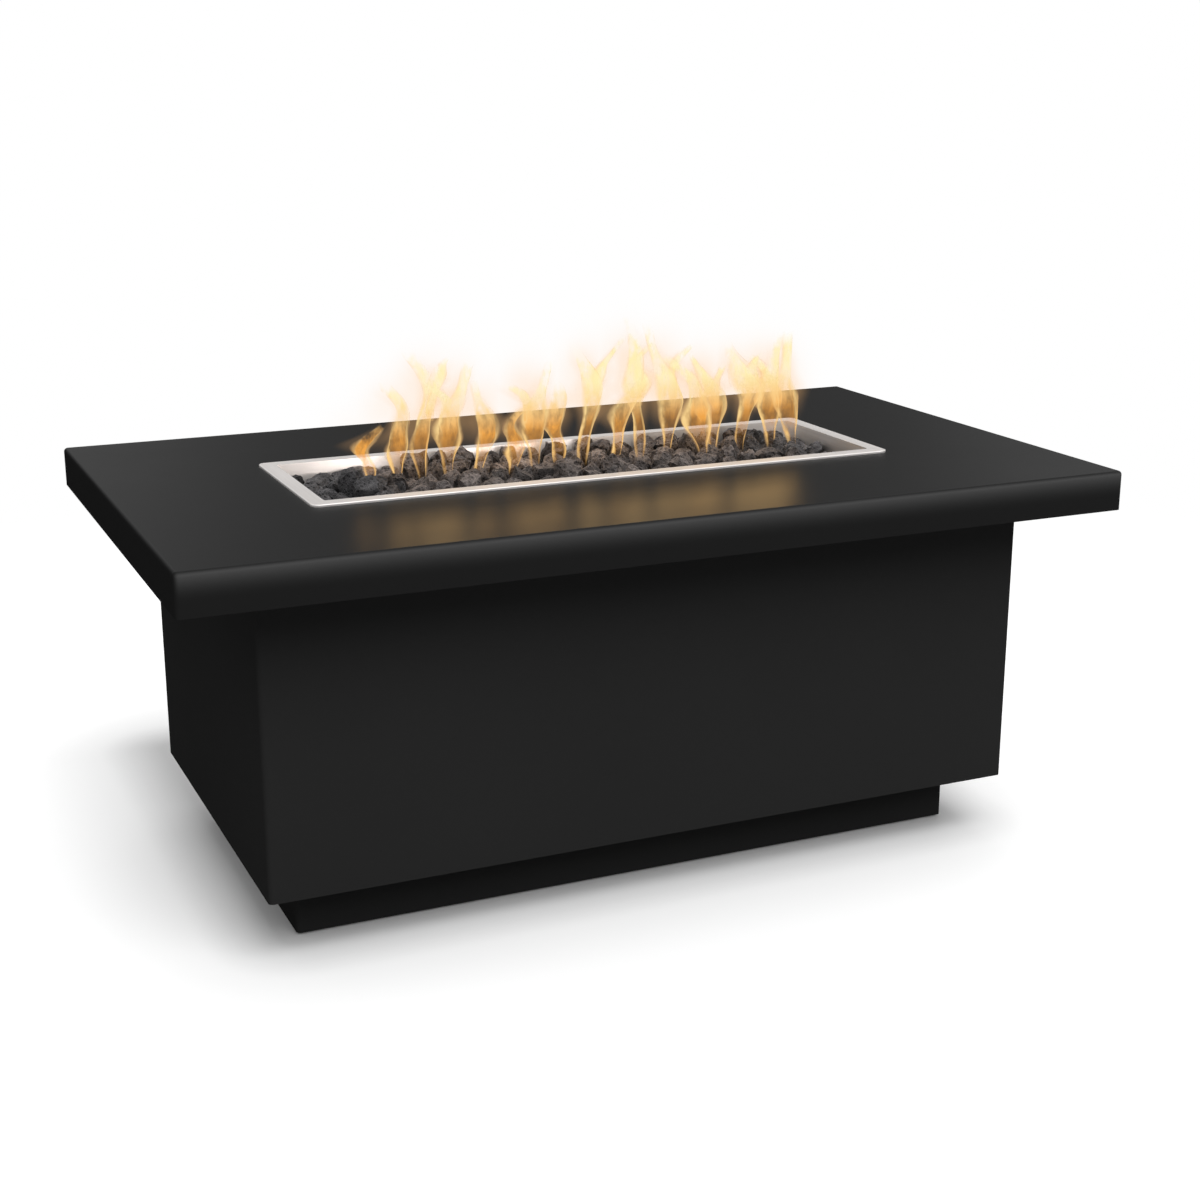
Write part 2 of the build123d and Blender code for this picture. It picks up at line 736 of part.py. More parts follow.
with BuildPart() as air_mixer:
    with BuildSketch(Plane.XY.offset(mixer_bottom)):
        Circle(mixer_radius)
    extrude(amount=mixer_height)
    with BuildSketch(Plane.XY.offset(mixer_bottom + 2 * mixer_wall)):
        Circle(mixer_radius - mixer_wall)
    extrude(amount=mixer_height - 3 * mixer_wall, mode=Mode.SUBTRACT)
    with BuildSketch(Plane.XY.offset(mixer_top)):
        Circle(nipple_bore)
    extrude(amount=-2 * mixer_wall, mode=Mode.SUBTRACT)
    with BuildSketch(Plane.XY.offset(mixer_bottom)):
        Circle(orifice_radius)
    extrude(amount=3 * mixer_wall, mode=Mode.SUBTRACT)
    for plane in (Plane.XZ, Plane.YZ):
        with BuildSketch(plane):
            with Locations((0, (mixer_bottom + mixer_top) / 2)):
                Circle(mixer_port_radius)
        extrude(amount=2 * mixer_radius, both=True, mode=Mode.SUBTRACT)
    chamfer(air_mixer.faces().sort_by(Axis.Z)[0].outer_wire().edges(), length=1.5)

burner_pipe = bent_tube([(0, 0, mixer_bottom), (0, 0, control_z), (valve_back, 0, control_z)],
                        min(tube_bend, 0.8 * pipe_drop), tube_radius, tube_radius - tube_wall)

# Gas valve behind the control plate: body, plug, bonnet and spindle along X
with BuildPart() as gas_valve:
    with BuildSketch(Plane.YZ.offset(valve_back)):
        with Locations((0, control_z)):
            Rectangle(valve_width, valve_height)
    extrude(amount=valve_depth)
    chamfer(gas_valve.faces().sort_by(Axis.X)[0].edges(), length=3)
    with BuildSketch(Plane.XY.offset(valve_inlet_z)):
        with Locations((valve_inlet_x, 0)):
            Circle(valve_boss_radius)
    extrude(amount=valve_boss_length)
    with BuildSketch(Plane.YZ.offset(plate_back)):
        with Locations((0, control_z)):
            Circle(valve_bore)
    extrude(amount=-valve_bore_depth, mode=Mode.SUBTRACT)
    with BuildSketch(Plane.YZ.offset(valve_back)):
        with Locations((0, control_z)):
            Circle(tube_radius - tube_wall)
    extrude(amount=valve_depth - valve_bore_depth, mode=Mode.SUBTRACT)
    with BuildSketch(Plane.XY.offset(valve_inlet_z)):
        with Locations((valve_inlet_x, 0)):
            Circle(tube_radius - tube_wall)
    extrude(amount=valve_boss_length + valve_height / 2 - valve_bore / 2, mode=Mode.SUBTRACT)
    with BuildSketch(Plane.YZ.offset(plate_back)):
        with Locations((0, control_z)):
            with GridLocations(valve_screw_spacing, 1, 2, 1):
                Circle(valve_screw_radius + fit_gap)
    extrude(amount=-valve_screw_length, mode=Mode.SUBTRACT)


def flatted_circle(radius, flat):
    """Draws a round with one flat in the current sketch, about the valve's axis."""
    with Locations((0, control_z)):
        Circle(radius)
    with Locations((0, control_z + flat + radius)):
        Rectangle(4 * radius, 2 * radius, mode=Mode.SUBTRACT)


plug_front = plate_back - bonnet_length - clear_gap
plug_back = plug_front - plug_length
spindle_back = plug_front - spindle_socket + knob_travel + 2 * clear_gap
knob_back = plate_front + bezel_height + knob_travel + 1.5
knob_socket = knob_height * 0.62
spindle_front = knob_back + knob_socket

with BuildPart() as valve_bonnet:
    with BuildSketch(Plane.YZ.offset(plate_back)):
        with Locations((0, control_z)):
            Circle(valve_bore - running_gap)
            Circle(spindle_radius + clear_gap, mode=Mode.SUBTRACT)
    extrude(amount=-bonnet_length)

with BuildPart() as valve_plug:
    with BuildSketch(Plane.YZ.offset(plug_back)):
        with Locations((0, control_z)):
            Circle(valve_bore - running_gap)
    extrude(amount=plug_length)
    with BuildSketch(Plane.YZ.offset(plug_front)):
        flatted_circle(spindle_radius + running_gap, spindle_flat + running_gap)
    extrude(amount=-spindle_socket, mode=Mode.SUBTRACT)

with BuildPart() as valve_spindle:
    with BuildSketch(Plane.YZ.offset(spindle_back)):
        flatted_circle(spindle_radius, spindle_flat)
    extrude(amount=spindle_front - spindle_back)

with BuildPart() as valve_screws:
    with BuildSketch(Plane.YZ.offset(plate_front)):
        with Locations((0, control_z)):
            with GridLocations(valve_screw_spacing, 1, 2, 1):
                Circle(valve_screw_radius)
    extrude(amount=-(valve_screw_length + plate_sheet - 1))
    with BuildSketch(Plane.YZ.offset(plate_front)):
        with Locations((0, control_z)):
            with GridLocations(valve_screw_spacing, 1, 2, 1):
                Circle(valve_screw_radius * 1.8)
    extrude(amount=-plate_sheet / 2)

# Control plate on the right end
with BuildPart() as control_plate:
    with BuildSketch(Plane.YZ.offset(plate_back)):
        with Locations((plate_y, control_z)):
            RectangleRounded(plate_width, plate_height, plate_corner_radius)
            with GridLocations(plate_screw_x, plate_screw_y, 2, 2):
                Circle(screw_radius + fit_gap, mode=Mode.SUBTRACT)
        with Locations((0, control_z)):
            Circle(spindle_radius * 1.5, mode=Mode.SUBTRACT)
            with GridLocations(valve_screw_spacing, 1, 2, 1):
                Circle(valve_screw_radius + fit_gap, mode=Mode.SUBTRACT)
        with Locations((igniter_spacing, control_z)):
            Circle(igniter_neck + fit_gap, mode=Mode.SUBTRACT)
    extrude(amount=plate_sheet)
    with BuildSketch(Plane.YZ.offset(plate_front)):
        with Locations((0, control_z)):
            with GridLocations(valve_screw_spacing, 1, 2, 1):
                Circle(valve_screw_radius * 1.8 + fit_gap)
    extrude(amount=-plate_sheet / 2, mode=Mode.SUBTRACT)

with BuildPart() as plate_screws:
    for radius, reach in ((screw_radius, -screw_length), (screw_head_radius, screw_head_height)):
        with BuildSketch(Plane.YZ.offset(plate_front)):
            with Locations((plate_y, control_z)):
                with GridLocations(plate_screw_x, plate_screw_y, 2, 2):
                    Circle(radius)
        extrude(amount=reach)
    chamfer(plate_screws.faces().group_by(Axis.X)[-1].edges(), length=screw_head_height / 3)

with BuildPart() as knob_bezel:
    with BuildSketch(Plane.YZ.offset(plate_front)):
        with Locations((0, control_z)):
            Circle(bezel_radius)
            Circle(spindle_radius * 1.5, mode=Mode.SUBTRACT)
    extrude(amount=bezel_height)
    chamfer(knob_bezel.faces().sort_by(Axis.X)[-1].outer_wire().edges(), length=bezel_height / 2)

with BuildPart() as gas_knob:
    with BuildSketch(Plane.YZ.offset(knob_back)):
        with Locations((0, control_z)):
            Circle(knob_radius)
    extrude(amount=knob_height)
    chamfer(gas_knob.faces().sort_by(Axis.X)[-1].edges(), length=1.5)
    with BuildSketch(Plane.YZ.offset(knob_back)):
        with Locations((0, control_z)):
            with PolarLocations(knob_radius + knob_grip_radius * 0.5, knob_grip_count):
                Circle(knob_grip_radius)
    extrude(amount=knob_height, mode=Mode.SUBTRACT)
    with BuildSketch(Plane.YZ.offset(knob_back + knob_height)):
        with Locations((0, control_z + knob_radius * 0.45)):
            SlotOverall(knob_radius * 0.7, knob_radius * 0.16, rotation=90)
    extrude(amount=-1.0, mode=Mode.SUBTRACT)
    with BuildSketch(Plane.YZ.offset(knob_back)):
        flatted_circle(spindle_radius + running_gap, spindle_flat + running_gap)
    extrude(amount=knob_socket, mode=Mode.SUBTRACT)

# Push-button igniter beside the knob
with BuildPart() as igniter_body:
    with BuildSketch(Plane.YZ.offset(igniter_back)):
        with Locations((igniter_spacing, control_z)):
            Circle(igniter_radius)
    extrude(amount=igniter_length)
    with BuildSketch(Plane.YZ.offset(plate_back)):
        with Locations((igniter_spacing, control_z)):
            Circle(igniter_neck)
    extrude(amount=plate_sheet)
    with BuildSketch(Plane.YZ.offset(plate_front)):
        with Locations((igniter_spacing, control_z)):
            Circle(button_radius + clear_gap)
    extrude(amount=-(button_length + button_travel), mode=Mode.SUBTRACT)

with BuildPart() as igniter_bezel:
    with BuildSketch(Plane.YZ.offset(plate_front)):
        with Locations((igniter_spacing, control_z)):
            Circle(igniter_ring_radius)
            Circle(button_radius + clear_gap, mode=Mode.SUBTRACT)
    extrude(amount=igniter_ring_height)
    chamfer(igniter_bezel.faces().sort_by(Axis.X)[-1].outer_wire().edges(), length=1.2)

button_front = plate_front + igniter_ring_height + button_stand
with BuildPart() as igniter_button:
    with BuildSketch(Plane.YZ.offset(button_front)):
        with Locations((igniter_spacing, control_z)):
            Circle(button_radius)
    extrude(amount=-button_length)
    fillet(igniter_button.faces().sort_by(Axis.X)[-1].edges(), radius=1.5)

# Spark electrode, thermocouple and their leads under the shield
with BuildPart() as spark_electrode:
    with BuildSketch(Plane.XY.offset(shield_top)):
        with Locations((electrode_x, electrode_y)):
            Circle(electrode_radius)
    extrude(amount=pan_floor + electrode_height - shield_top)
    with BuildSketch(Plane.XY.offset(pan_floor)):
        with Locations((electrode_x, electrode_y)):
            Circle(electrode_collar)
    extrude(amount=electrode_collar_height)
    with BuildSketch(Plane.XY.offset(pan_floor + electrode_height)):
        with Locations((electrode_x, electrode_y)):
            Circle(electrode_radius * 0.35)
    extrude(amount=electrode_tip)

lead_corner = igniter_back - lead_offset
capillary_corner = valve_back - lead_offset
lead_turn = min(lead_bend, 0.8 * lead_drop)
lead_points = [(igniter_back, igniter_spacing, control_z), (lead_corner, igniter_spacing, control_z),
               (lead_corner, igniter_spacing, lead_level), (electrode_x, electrode_y, lead_level),
               (electrode_x, electrode_y, shield_top)]
ignition_lead = bent_tube(lead_points, lead_turn, lead_radius, 0)
capillary_y = -valve_width * 0.34
capillary_z = control_z - valve_height * 0.22
with BuildPart() as thermocouple:
    with BuildLine():
        capillary = FilletPolyline(
            (valve_back, capillary_y, capillary_z), (capillary_corner, capillary_y, capillary_z),
            (capillary_corner, capillary_y, lead_level), (electrode_x, -electrode_y, lead_level),
            (electrode_x, -electrode_y, pan_floor + electrode_collar_height), radius=lead_turn)
    with BuildSketch(Plane(origin=capillary @ 0, z_dir=capillary % 0)):
        Circle(capillary_radius)
    sweep()
    for radius, height in ((electrode_collar, electrode_collar_height), (probe_radius, electrode_height)):
        with BuildSketch(Plane.XY.offset(pan_floor)):
            with Locations((electrode_x, -electrode_y)):
                Circle(radius)
        extrude(amount=height)


def lead_clip(start, end, share, bore):
    """A saddle under the heat shield around a lead that runs from start to end."""
    run = Vector(*end) - Vector(*start)
    spot = Vector(*start) + run * share
    with BuildPart() as clip:
        with BuildSketch(Plane(origin=spot, x_dir=(0, 0, 1), z_dir=run)):
            with Locations(((lead_drop - bore - clip_wall) / 2, 0)):
                Rectangle(lead_drop + bore + clip_wall, 2 * bore + 2 * clip_wall)
            Circle(bore + fit_gap, mode=Mode.SUBTRACT)
        extrude(amount=clip_length)
    return clip.part


lead_run = ((lead_corner, igniter_spacing, lead_level), (electrode_x, electrode_y, lead_level))
capillary_run = ((capillary_corner, capillary_y, lead_level), (electrode_x, -electrode_y, lead_level))
clips = [lead_clip(*lead_run, share, lead_radius) for share in (0.35, 0.75)]
clips += [lead_clip(*capillary_run, share, capillary_radius) for share in (0.4, 0.75)]
lead_clips = Compound(clips)

# Gas inlet through the base floor, with its two locknuts
with BuildPart() as inlet_nipple:
    with BuildSketch(Plane.XY.offset(kick_height - inlet_drop)):
        with Locations((inlet_x, inlet_y)):
            Circle(nipple_radius)
            Circle(nipple_bore, mode=Mode.SUBTRACT)
    extrude(amount=shutoff_bottom - kick_height + inlet_drop)
    with BuildSketch(Plane.XY.offset(kick_height - nipple_nut_height - inlet_groove_width)):
        with Locations((inlet_x, inlet_y)):
            Circle(nipple_radius + inlet_groove_depth)
            Circle(nipple_radius - inlet_groove_depth, mode=Mode.SUBTRACT)
    extrude(amount=inlet_groove_width, mode=Mode.SUBTRACT)

with BuildPart() as inlet_locknuts:
    for level in (deck_top, kick_height - nipple_nut_height):
        with BuildSketch(Plane.XY.offset(level)):
            with Locations((inlet_x, inlet_y)):
                RegularPolygon(nipple_nut_flats / 2, 6, major_radius=False)
                Circle(nipple_radius + fit_gap, mode=Mode.SUBTRACT)
        extrude(amount=nipple_nut_height)

# Shutoff valve above the inlet, with a lever on its rear side
boss_face = inlet_y + shutoff_flats / 2 + shutoff_boss_length
shutoff_mid = (shutoff_bottom + shutoff_top) / 2
with BuildPart() as shutoff_body:
    with BuildSketch(Plane.XY.offset(shutoff_bottom)):
        with Locations((inlet_x, inlet_y)):
            RegularPolygon(shutoff_flats / 2, 6, major_radius=False)
    extrude(amount=shutoff_height)
    with BuildSketch(Plane.XZ.offset(-inlet_y)):
        with Locations((inlet_x, shutoff_mid)):
            Circle(shutoff_boss_radius)
    extrude(amount=-(boss_face - inlet_y))
    with BuildSketch(Plane.XY.offset(shutoff_bottom)):
        with Locations((inlet_x, inlet_y)):
            Circle(tube_radius - tube_wall)
    extrude(amount=shutoff_height, mode=Mode.SUBTRACT)
    with BuildSketch(Plane.XZ.offset(-boss_face)):
        with Locations((inlet_x, shutoff_mid)):
            Circle(stem_radius + running_gap)
    extrude(amount=stem_depth + 2 * clear_gap, mode=Mode.SUBTRACT)

lever_face = boss_face + clear_gap
with BuildPart() as shutoff_lever:
    with BuildSketch(Plane.XZ.offset(-lever_face)):
        with Locations((inlet_x, shutoff_mid)):
            Circle(lever_width * 0.75)
        with Locations((inlet_x, shutoff_mid + lever_length / 2)):
            SlotOverall(lever_length + lever_width, lever_width, rotation=90)
    extrude(amount=-lever_sheet)
    fillet(shutoff_lever.faces().sort_by(Axis.Y)[-1].outer_wire().edges(), radius=1.0)
    with BuildSketch(Plane.XZ.offset(-lever_face)):
        with Locations((inlet_x, shutoff_mid)):
            Circle(stem_radius)
    extrude(amount=stem_depth)

feed_level = (shutoff_top + valve_inlet_z) / 2
feed_pipe = bent_tube([(inlet_x, inlet_y, shutoff_top), (inlet_x, inlet_y, feed_level),
                       (valve_inlet_x, 0, feed_level), (valve_inlet_x, 0, valve_inlet_z)],
                      min(tube_bend, 0.8 * (feed_level - shutoff_top)), tube_radius, tube_radius - tube_wall)

# Lava bed: the lower stones as one block that fills the pan around the burner
with BuildPart() as lava_rock_bed:
    with BuildSketch(Plane.XY.offset(pan_floor)):
        RectangleRounded(pan_length - 2 * bed_gap, pan_width - 2 * bed_gap, pan_corner_radius + bed_gap)
        Rectangle(burner_length + 2 * cap_sheet + 4 * bed_gap, 2 * burner_radius + 4 * bed_gap,
                  mode=Mode.SUBTRACT)
        Circle(nipple_nut_flats * 0.62, mode=Mode.SUBTRACT)
        with Locations((electrode_x, electrode_y), (electrode_x, -electrode_y)):
            Circle(electrode_collar + 2 * bed_gap, mode=Mode.SUBTRACT)
        for side in (-1, 1):
            with Locations((side * bracket_offset + bracket_foot / 2, 0)):
                Rectangle(bracket_foot + 4 * bed_gap, bracket_width + 4 * bed_gap, mode=Mode.SUBTRACT)
    extrude(amount=bed_top - pan_floor)

# Loose lava rocks: faceted stones of several kinds, turned and sized to fit beside one another on the bed
random.seed(rock_seed)


def rock_shape(tallness):
    """A faceted stone on a flat foot, inside a round of the largest radius."""
    height = rock_max_radius * tallness
    sides = random.choice((8, 9, 10))
    corners = []
    for corner in range(sides):
        angle = (corner + random.uniform(-0.25, 0.25)) * 2 * math.pi / sides
        reach = rock_max_radius * random.uniform(0.9, 1.0)
        corners.append((reach * math.cos(angle), reach * math.sin(angle)))
    cuts = []
    for count, leans, shares in ((4, (30, 60), (0.76, 0.9)), (3, (-55, -35), (0.84, 0.94)),
                                 (2, (64, 84), (0.84, 0.96))):
        sector = 360 / count
        for turn in range(count):
            cuts.append((random.uniform(0, sector) + sector * turn, random.uniform(*leans),
                         random.uniform(*shares)))
    centre = Vector(0, 0, 0.42 * height)
    with BuildPart() as stone:
        with BuildSketch():
            Polygon(*corners, align=None)
        extrude(amount=height)
        for turn, lean, share in cuts:
            flat = math.cos(math.radians(lean))
            normal = Vector(flat * math.cos(math.radians(turn)), flat * math.sin(math.radians(turn)),
                            math.sin(math.radians(lean)))
            reach = max((corner.center() - centre).dot(normal) for corner in stone.vertices())
            split(bisect_by=Plane(origin=centre + normal * (share * reach), z_dir=normal), keep=Keep.BOTTOM)
    widest = max(math.hypot(corner.X, corner.Y) for corner in stone.vertices())
    return scale(stone.part.solid(), rock_max_radius / widest)


def room_for(x, y, others, most):
    """The largest radius that a stone at x, y can have beside the others and the pan's walls."""
    room = min(most, pan_length / 2 - rock_gap - abs(x), pan_width / 2 - rock_gap - abs(y))
    for other_x, other_y, other_radius in others:
        room = min(room, math.hypot(x - other_x, y - other_y) - other_radius - rock_gap)
    return room


tall_kinds = [rock_shape(random.uniform(1.7, 2.2)) for kind in range(9)]
low_kinds = [rock_shape(random.uniform(0.95, 1.2)) for kind in range(4)]
columns = int(pan_length / rock_pitch)
rows = 2 * int(pan_width / (1.732 * rock_pitch)) + 1
seeds = []
for row in range(rows):
    for column in range(columns):
        shift = 0.25 if row % 2 else -0.25
        seed_x = (column - (columns - 1) / 2 + shift) * pan_length / (columns + 0.5)
        seed_y = (row - (rows - 1) / 2) * pan_width / rows
        seeds.append((seed_x + random.uniform(-rock_jitter, rock_jitter),
                      seed_y + random.uniform(-rock_jitter, rock_jitter)))
stones = []
for index, (x, y) in enumerate(seeds):
    near = [math.hypot(x - other[0], y - other[1]) for place, other in enumerate(seeds) if place != index]
    stones.append((x, y, room_for(x, y, [], min(rock_max_radius, (min(near) - rock_gap) / 2))))
for index, (x, y, radius) in enumerate(stones):
    others = stones[:index] + stones[index + 1:]
    stones[index] = (x, y, max(radius, room_for(x, y, others, rock_max_radius)))
for trial in range(4000):
    x = random.uniform(-pan_length / 2, pan_length / 2)
    y = random.uniform(-pan_width / 2, pan_width / 2)
    room = room_for(x, y, stones, rock_max_radius * 0.6)
    if room > rock_min_radius:
        stones.append((x, y, room))
placed = []
for x, y, radius in stones:
    in_corner = x < -0.3 * pan_length and y > 0.1 * pan_width
    at_end = in_corner or abs(x) > pan_length / 2 - low_rock_zone
    kind = random.choice(low_kinds if at_end else tall_kinds)
    placed.append(scale(kind, radius / rock_max_radius).moved(
        Location((x, y, bed_top), (0, 0, random.uniform(0, 360)))))
lava_rocks = Compound(placed)

# Every piece under its name
pieces = {
    "table_top": table_top.part, "base_wrap": base_wrap.part, "rear_panel": rear_panel.part,
    "base_deck": base_deck.part, "toe_kick": toe_kick.part, "floor_glides": floor_glides.part,
    "kick_bolts": kick_bolts.part, "kick_nuts": kick_nuts.part, "corner_posts": corner_posts.part,
    "long_rails": long_rails.part, "end_rails": end_rails.part, "cross_rails": cross_rails.part,
    "top_studs": top_studs.part, "top_nuts": top_nuts.part, "rear_screws": rear_screws.part,
    "door_frame": door_frame.part, "access_door": access_door.part, "door_stiffener": door_stiffener.part,
    "door_pull": door_pull.part, "magnet_catch": magnet_catch.part,
    "hinge_frame_leaves": hinge_frame_leaves.part, "hinge_door_leaves": hinge_door_leaves.part,
    "hinge_frame_rivets": hinge_frame_rivets.part, "hinge_door_rivets": hinge_door_rivets.part,
    "hinge_pins": hinge_pins.part, "burner_pan": burner_pan.part, "heat_shield": heat_shield.part,
    "shield_spacers": shield_spacers.part, "shield_studs": shield_studs.part, "shield_nuts": shield_nuts.part,
    "burner_tube": burner_tube.part, "burner_caps": burner_caps.part, "burner_brackets": burner_brackets.part,
    "bulkhead_nipple": bulkhead_nipple.part, "bulkhead_nuts": bulkhead_nuts.part, "air_mixer": air_mixer.part,
    "burner_pipe": burner_pipe.part, "feed_pipe": feed_pipe.part, "gas_valve": gas_valve.part,
    "valve_bonnet": valve_bonnet.part, "valve_plug": valve_plug.part, "valve_spindle": valve_spindle.part,
    "valve_screws": valve_screws.part, "control_plate": control_plate.part, "plate_screws": plate_screws.part,
    "knob_bezel": knob_bezel.part, "gas_knob": gas_knob.part, "igniter_body": igniter_body.part,
    "igniter_bezel": igniter_bezel.part, "igniter_button": igniter_button.part,
    "spark_electrode": spark_electrode.part, "ignition_lead": ignition_lead.part,
    "thermocouple": thermocouple.part, "lead_clips": lead_clips, "inlet_nipple": inlet_nipple.part,
    "inlet_locknuts": inlet_locknuts.part, "shutoff_body": shutoff_body.part,
    "shutoff_lever": shutoff_lever.part, "lava_rock_bed": lava_rock_bed.part, "lava_rocks": lava_rocks,
}
for name, piece in pieces.items():
    piece.label = name
    export_step(piece, f"parts/{name}.step")
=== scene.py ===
import json
import math
import random

import bmesh
import bpy
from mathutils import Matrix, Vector, noise


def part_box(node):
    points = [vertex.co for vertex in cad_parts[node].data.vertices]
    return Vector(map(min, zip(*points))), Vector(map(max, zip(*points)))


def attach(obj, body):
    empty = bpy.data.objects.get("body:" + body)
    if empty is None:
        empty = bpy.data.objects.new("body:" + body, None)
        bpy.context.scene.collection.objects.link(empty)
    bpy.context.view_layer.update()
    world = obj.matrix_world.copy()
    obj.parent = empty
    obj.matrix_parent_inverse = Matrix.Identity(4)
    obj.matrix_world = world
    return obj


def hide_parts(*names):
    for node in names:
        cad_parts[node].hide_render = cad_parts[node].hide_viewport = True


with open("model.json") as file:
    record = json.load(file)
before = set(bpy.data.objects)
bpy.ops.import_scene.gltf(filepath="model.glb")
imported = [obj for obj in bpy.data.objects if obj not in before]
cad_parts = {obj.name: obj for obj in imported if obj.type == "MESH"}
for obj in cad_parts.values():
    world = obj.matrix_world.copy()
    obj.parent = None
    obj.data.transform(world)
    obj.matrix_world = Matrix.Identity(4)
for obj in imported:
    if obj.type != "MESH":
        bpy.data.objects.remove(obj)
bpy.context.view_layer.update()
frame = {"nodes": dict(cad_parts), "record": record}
scene = bpy.context.scene
scene.view_settings.view_transform = "Standard"
slot_of_node = {part["node"]: part["material_slot"] for part in frame["record"]["subparts"]}

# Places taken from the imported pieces
top_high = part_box("table_top")[1]
pan_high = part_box("burner_pan")[1]
bed_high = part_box("lava_rock_bed")[1]
rim_width = 0.020
pan_half_length = pan_high.x - rim_width
pan_half_width = pan_high.y - rim_width

# Plain values, and the sockets of a Mix node: first value, second value, result
white = (1.0, 1.0, 1.0)
black = (0.0, 0.0, 0.0)
full_turn = 2 * math.pi
mix_places = {"RGBA": (6, 7, 2), "FLOAT": (2, 3, 0)}


def grey(level):
    """A colour without a hue."""
    return (level, level, level)


# Node helpers
def add(tree, kind, **settings):
    """A new shader node with its settings."""
    made = tree.nodes.new("ShaderNode" + kind)
    for key, value in settings.items():
        setattr(made, key, value)
    return made


def feed(tree, socket, value):
    """Link a socket to another one, or set a plain number or colour on it."""
    if isinstance(value, bpy.types.NodeSocket):
        tree.links.new(value, socket)
    elif isinstance(value, tuple):
        socket.default_value = (*value, 1.0)
    else:
        socket.default_value = value


def math_node(tree, operation, first, second=None):
    """A Math node on sockets or plain numbers."""
    made = add(tree, "Math", operation=operation)
    feed(tree, made.inputs[0], first)
    if second is not None:
        feed(tree, made.inputs[1], second)
    return made.outputs[0]


def plus(tree, first, second):
    """The sum of two values."""
    return math_node(tree, "ADD", first, second)


def minus(tree, first, second):
    """The difference of two values."""
    return math_node(tree, "SUBTRACT", first, second)


def times(tree, first, second):
    """The product of two values."""
    return math_node(tree, "MULTIPLY", first, second)


def larger(tree, first, second):
    """The larger of two values."""
    return math_node(tree, "MAXIMUM", first, second)


def unsigned(tree, value):
    """A value without its sign."""
    return math_node(tree, "ABSOLUTE", value)


def spread(tree, source, low, high, from_low=0.0, from_high=1.0, kind="LINEAR"):
    """A value moved from one range to another and held inside it."""
    made = add(tree, "MapRange", interpolation_type=kind)
    made.inputs["From Min"].default_value = from_low
    made.inputs["From Max"].default_value = from_high
    made.inputs["To Min"].default_value = low
    made.inputs["To Max"].default_value = high
    tree.links.new(source, made.inputs["Value"])
    return made.outputs["Result"]


def mixed(tree, share, first, second, kind="RGBA", blend="MIX"):
    """A blend of two colours or numbers by a share."""
    made = add(tree, "Mix", data_type=kind, blend_type=blend)
    first_place, second_place, result_place = mix_places[kind]
    feed(tree, made.inputs[0], share)
    feed(tree, made.inputs[first_place], first)
    feed(tree, made.inputs[second_place], second)
    return made.outputs[result_place]


def grain(tree, vector, scale, detail=4.0, rough=0.5):
    """Noise on a vector. Scale is a number or a socket."""
    made = add(tree, "TexNoise")
    feed(tree, made.inputs["Scale"], scale)
    made.inputs["Detail"].default_value = detail
    made.inputs["Roughness"].default_value = rough
    tree.links.new(vector, made.inputs["Vector"])
    return made.outputs[0]


def cells(tree, vector, scale):
    """Cells of crystals or pits on a vector."""
    made = add(tree, "TexVoronoi")
    made.inputs["Scale"].default_value = scale
    tree.links.new(vector, made.inputs["Vector"])
    return made.outputs


def stretched(tree, vector, scale):
    """A vector scaled along its axes."""
    made = add(tree, "Mapping")
    made.inputs["Scale"].default_value = scale
    tree.links.new(vector, made.inputs["Vector"])
    return made.outputs[0]


def parts_of(tree, vector):
    """The X, Y and Z of a vector."""
    made = add(tree, "SeparateXYZ")
    tree.links.new(vector, made.inputs[0])
    return made.outputs


def object_place(tree):
    """The place on a piece, in metres."""
    return add(tree, "TexCoord").outputs["Object"]


def facing_way(tree):
    """The way that a face looks."""
    return parts_of(tree, add(tree, "TexCoord").outputs["Normal"])


def value_of(tree, name):
    """A value kept in the mesh."""
    return add(tree, "Attribute", attribute_name=name).outputs["Fac"]


def new_group(name, inputs, outputs):
    """A shader node group with named sockets."""
    group = bpy.data.node_groups.new(name, "ShaderNodeTree")
    for label, value in inputs:
        socket = group.interface.new_socket(label, in_out="INPUT", socket_type="NodeSocketFloat")
        socket.default_value = value
    for label in outputs:
        group.interface.new_socket(label, in_out="OUTPUT", socket_type="NodeSocketFloat")
    return group, group.nodes.new("NodeGroupInput").outputs, group.nodes.new("NodeGroupOutput").inputs


# Shared effect: a fine skin of grain over slow cloudy marks
def surface_marks_group():
    """Grain and cloud, each with its own scale and detail."""
    group, given, result = new_group("surface_marks", (("Grain Scale", 900.0), ("Cloud Scale", 6.0)),
                                     ("Grain", "Cloud"))
    place = object_place(group)
    for label, detail in (("Grain", 2.0), ("Cloud", 5.0)):
        group.links.new(grain(group, place, given[label + " Scale"], detail), result[label])
    return group


# Shared effect: brushed lines that turn at the mitred corners of the pan's rim
def brushed_group():
    """Fine lines and broad bands, each with its scales across and along the brushing and its detail."""
    group, given, result = new_group("brushed_lines", (("Fineness", 1.0),), ("Lines", "Bands"))
    place = object_place(group)
    parts = parts_of(group, place)
    beyond_end = minus(group, unsigned(group, parts["X"]), pan_half_length)
    beyond_side = minus(group, unsigned(group, parts["Y"]), pan_half_width)
    on_end = math_node(group, "GREATER_THAN", beyond_end, beyond_side)
    for label, across, along, detail in (("Lines", 1600.0, 9.0, 3.0), ("Bands", 260.0, 3.0, 2.0)):
        on_long_side, on_short_side = [
            grain(group, stretched(group, place, scale), given["Fineness"], detail)
            for scale in ((along, across, across), (across, along, across))
        ]
        group.links.new(mixed(group, on_end, on_long_side, on_short_side, "FLOAT"), result[label])
    return group


surface_marks = surface_marks_group()
brushed_lines = brushed_group()
noise_span = (0.3, 0.7)


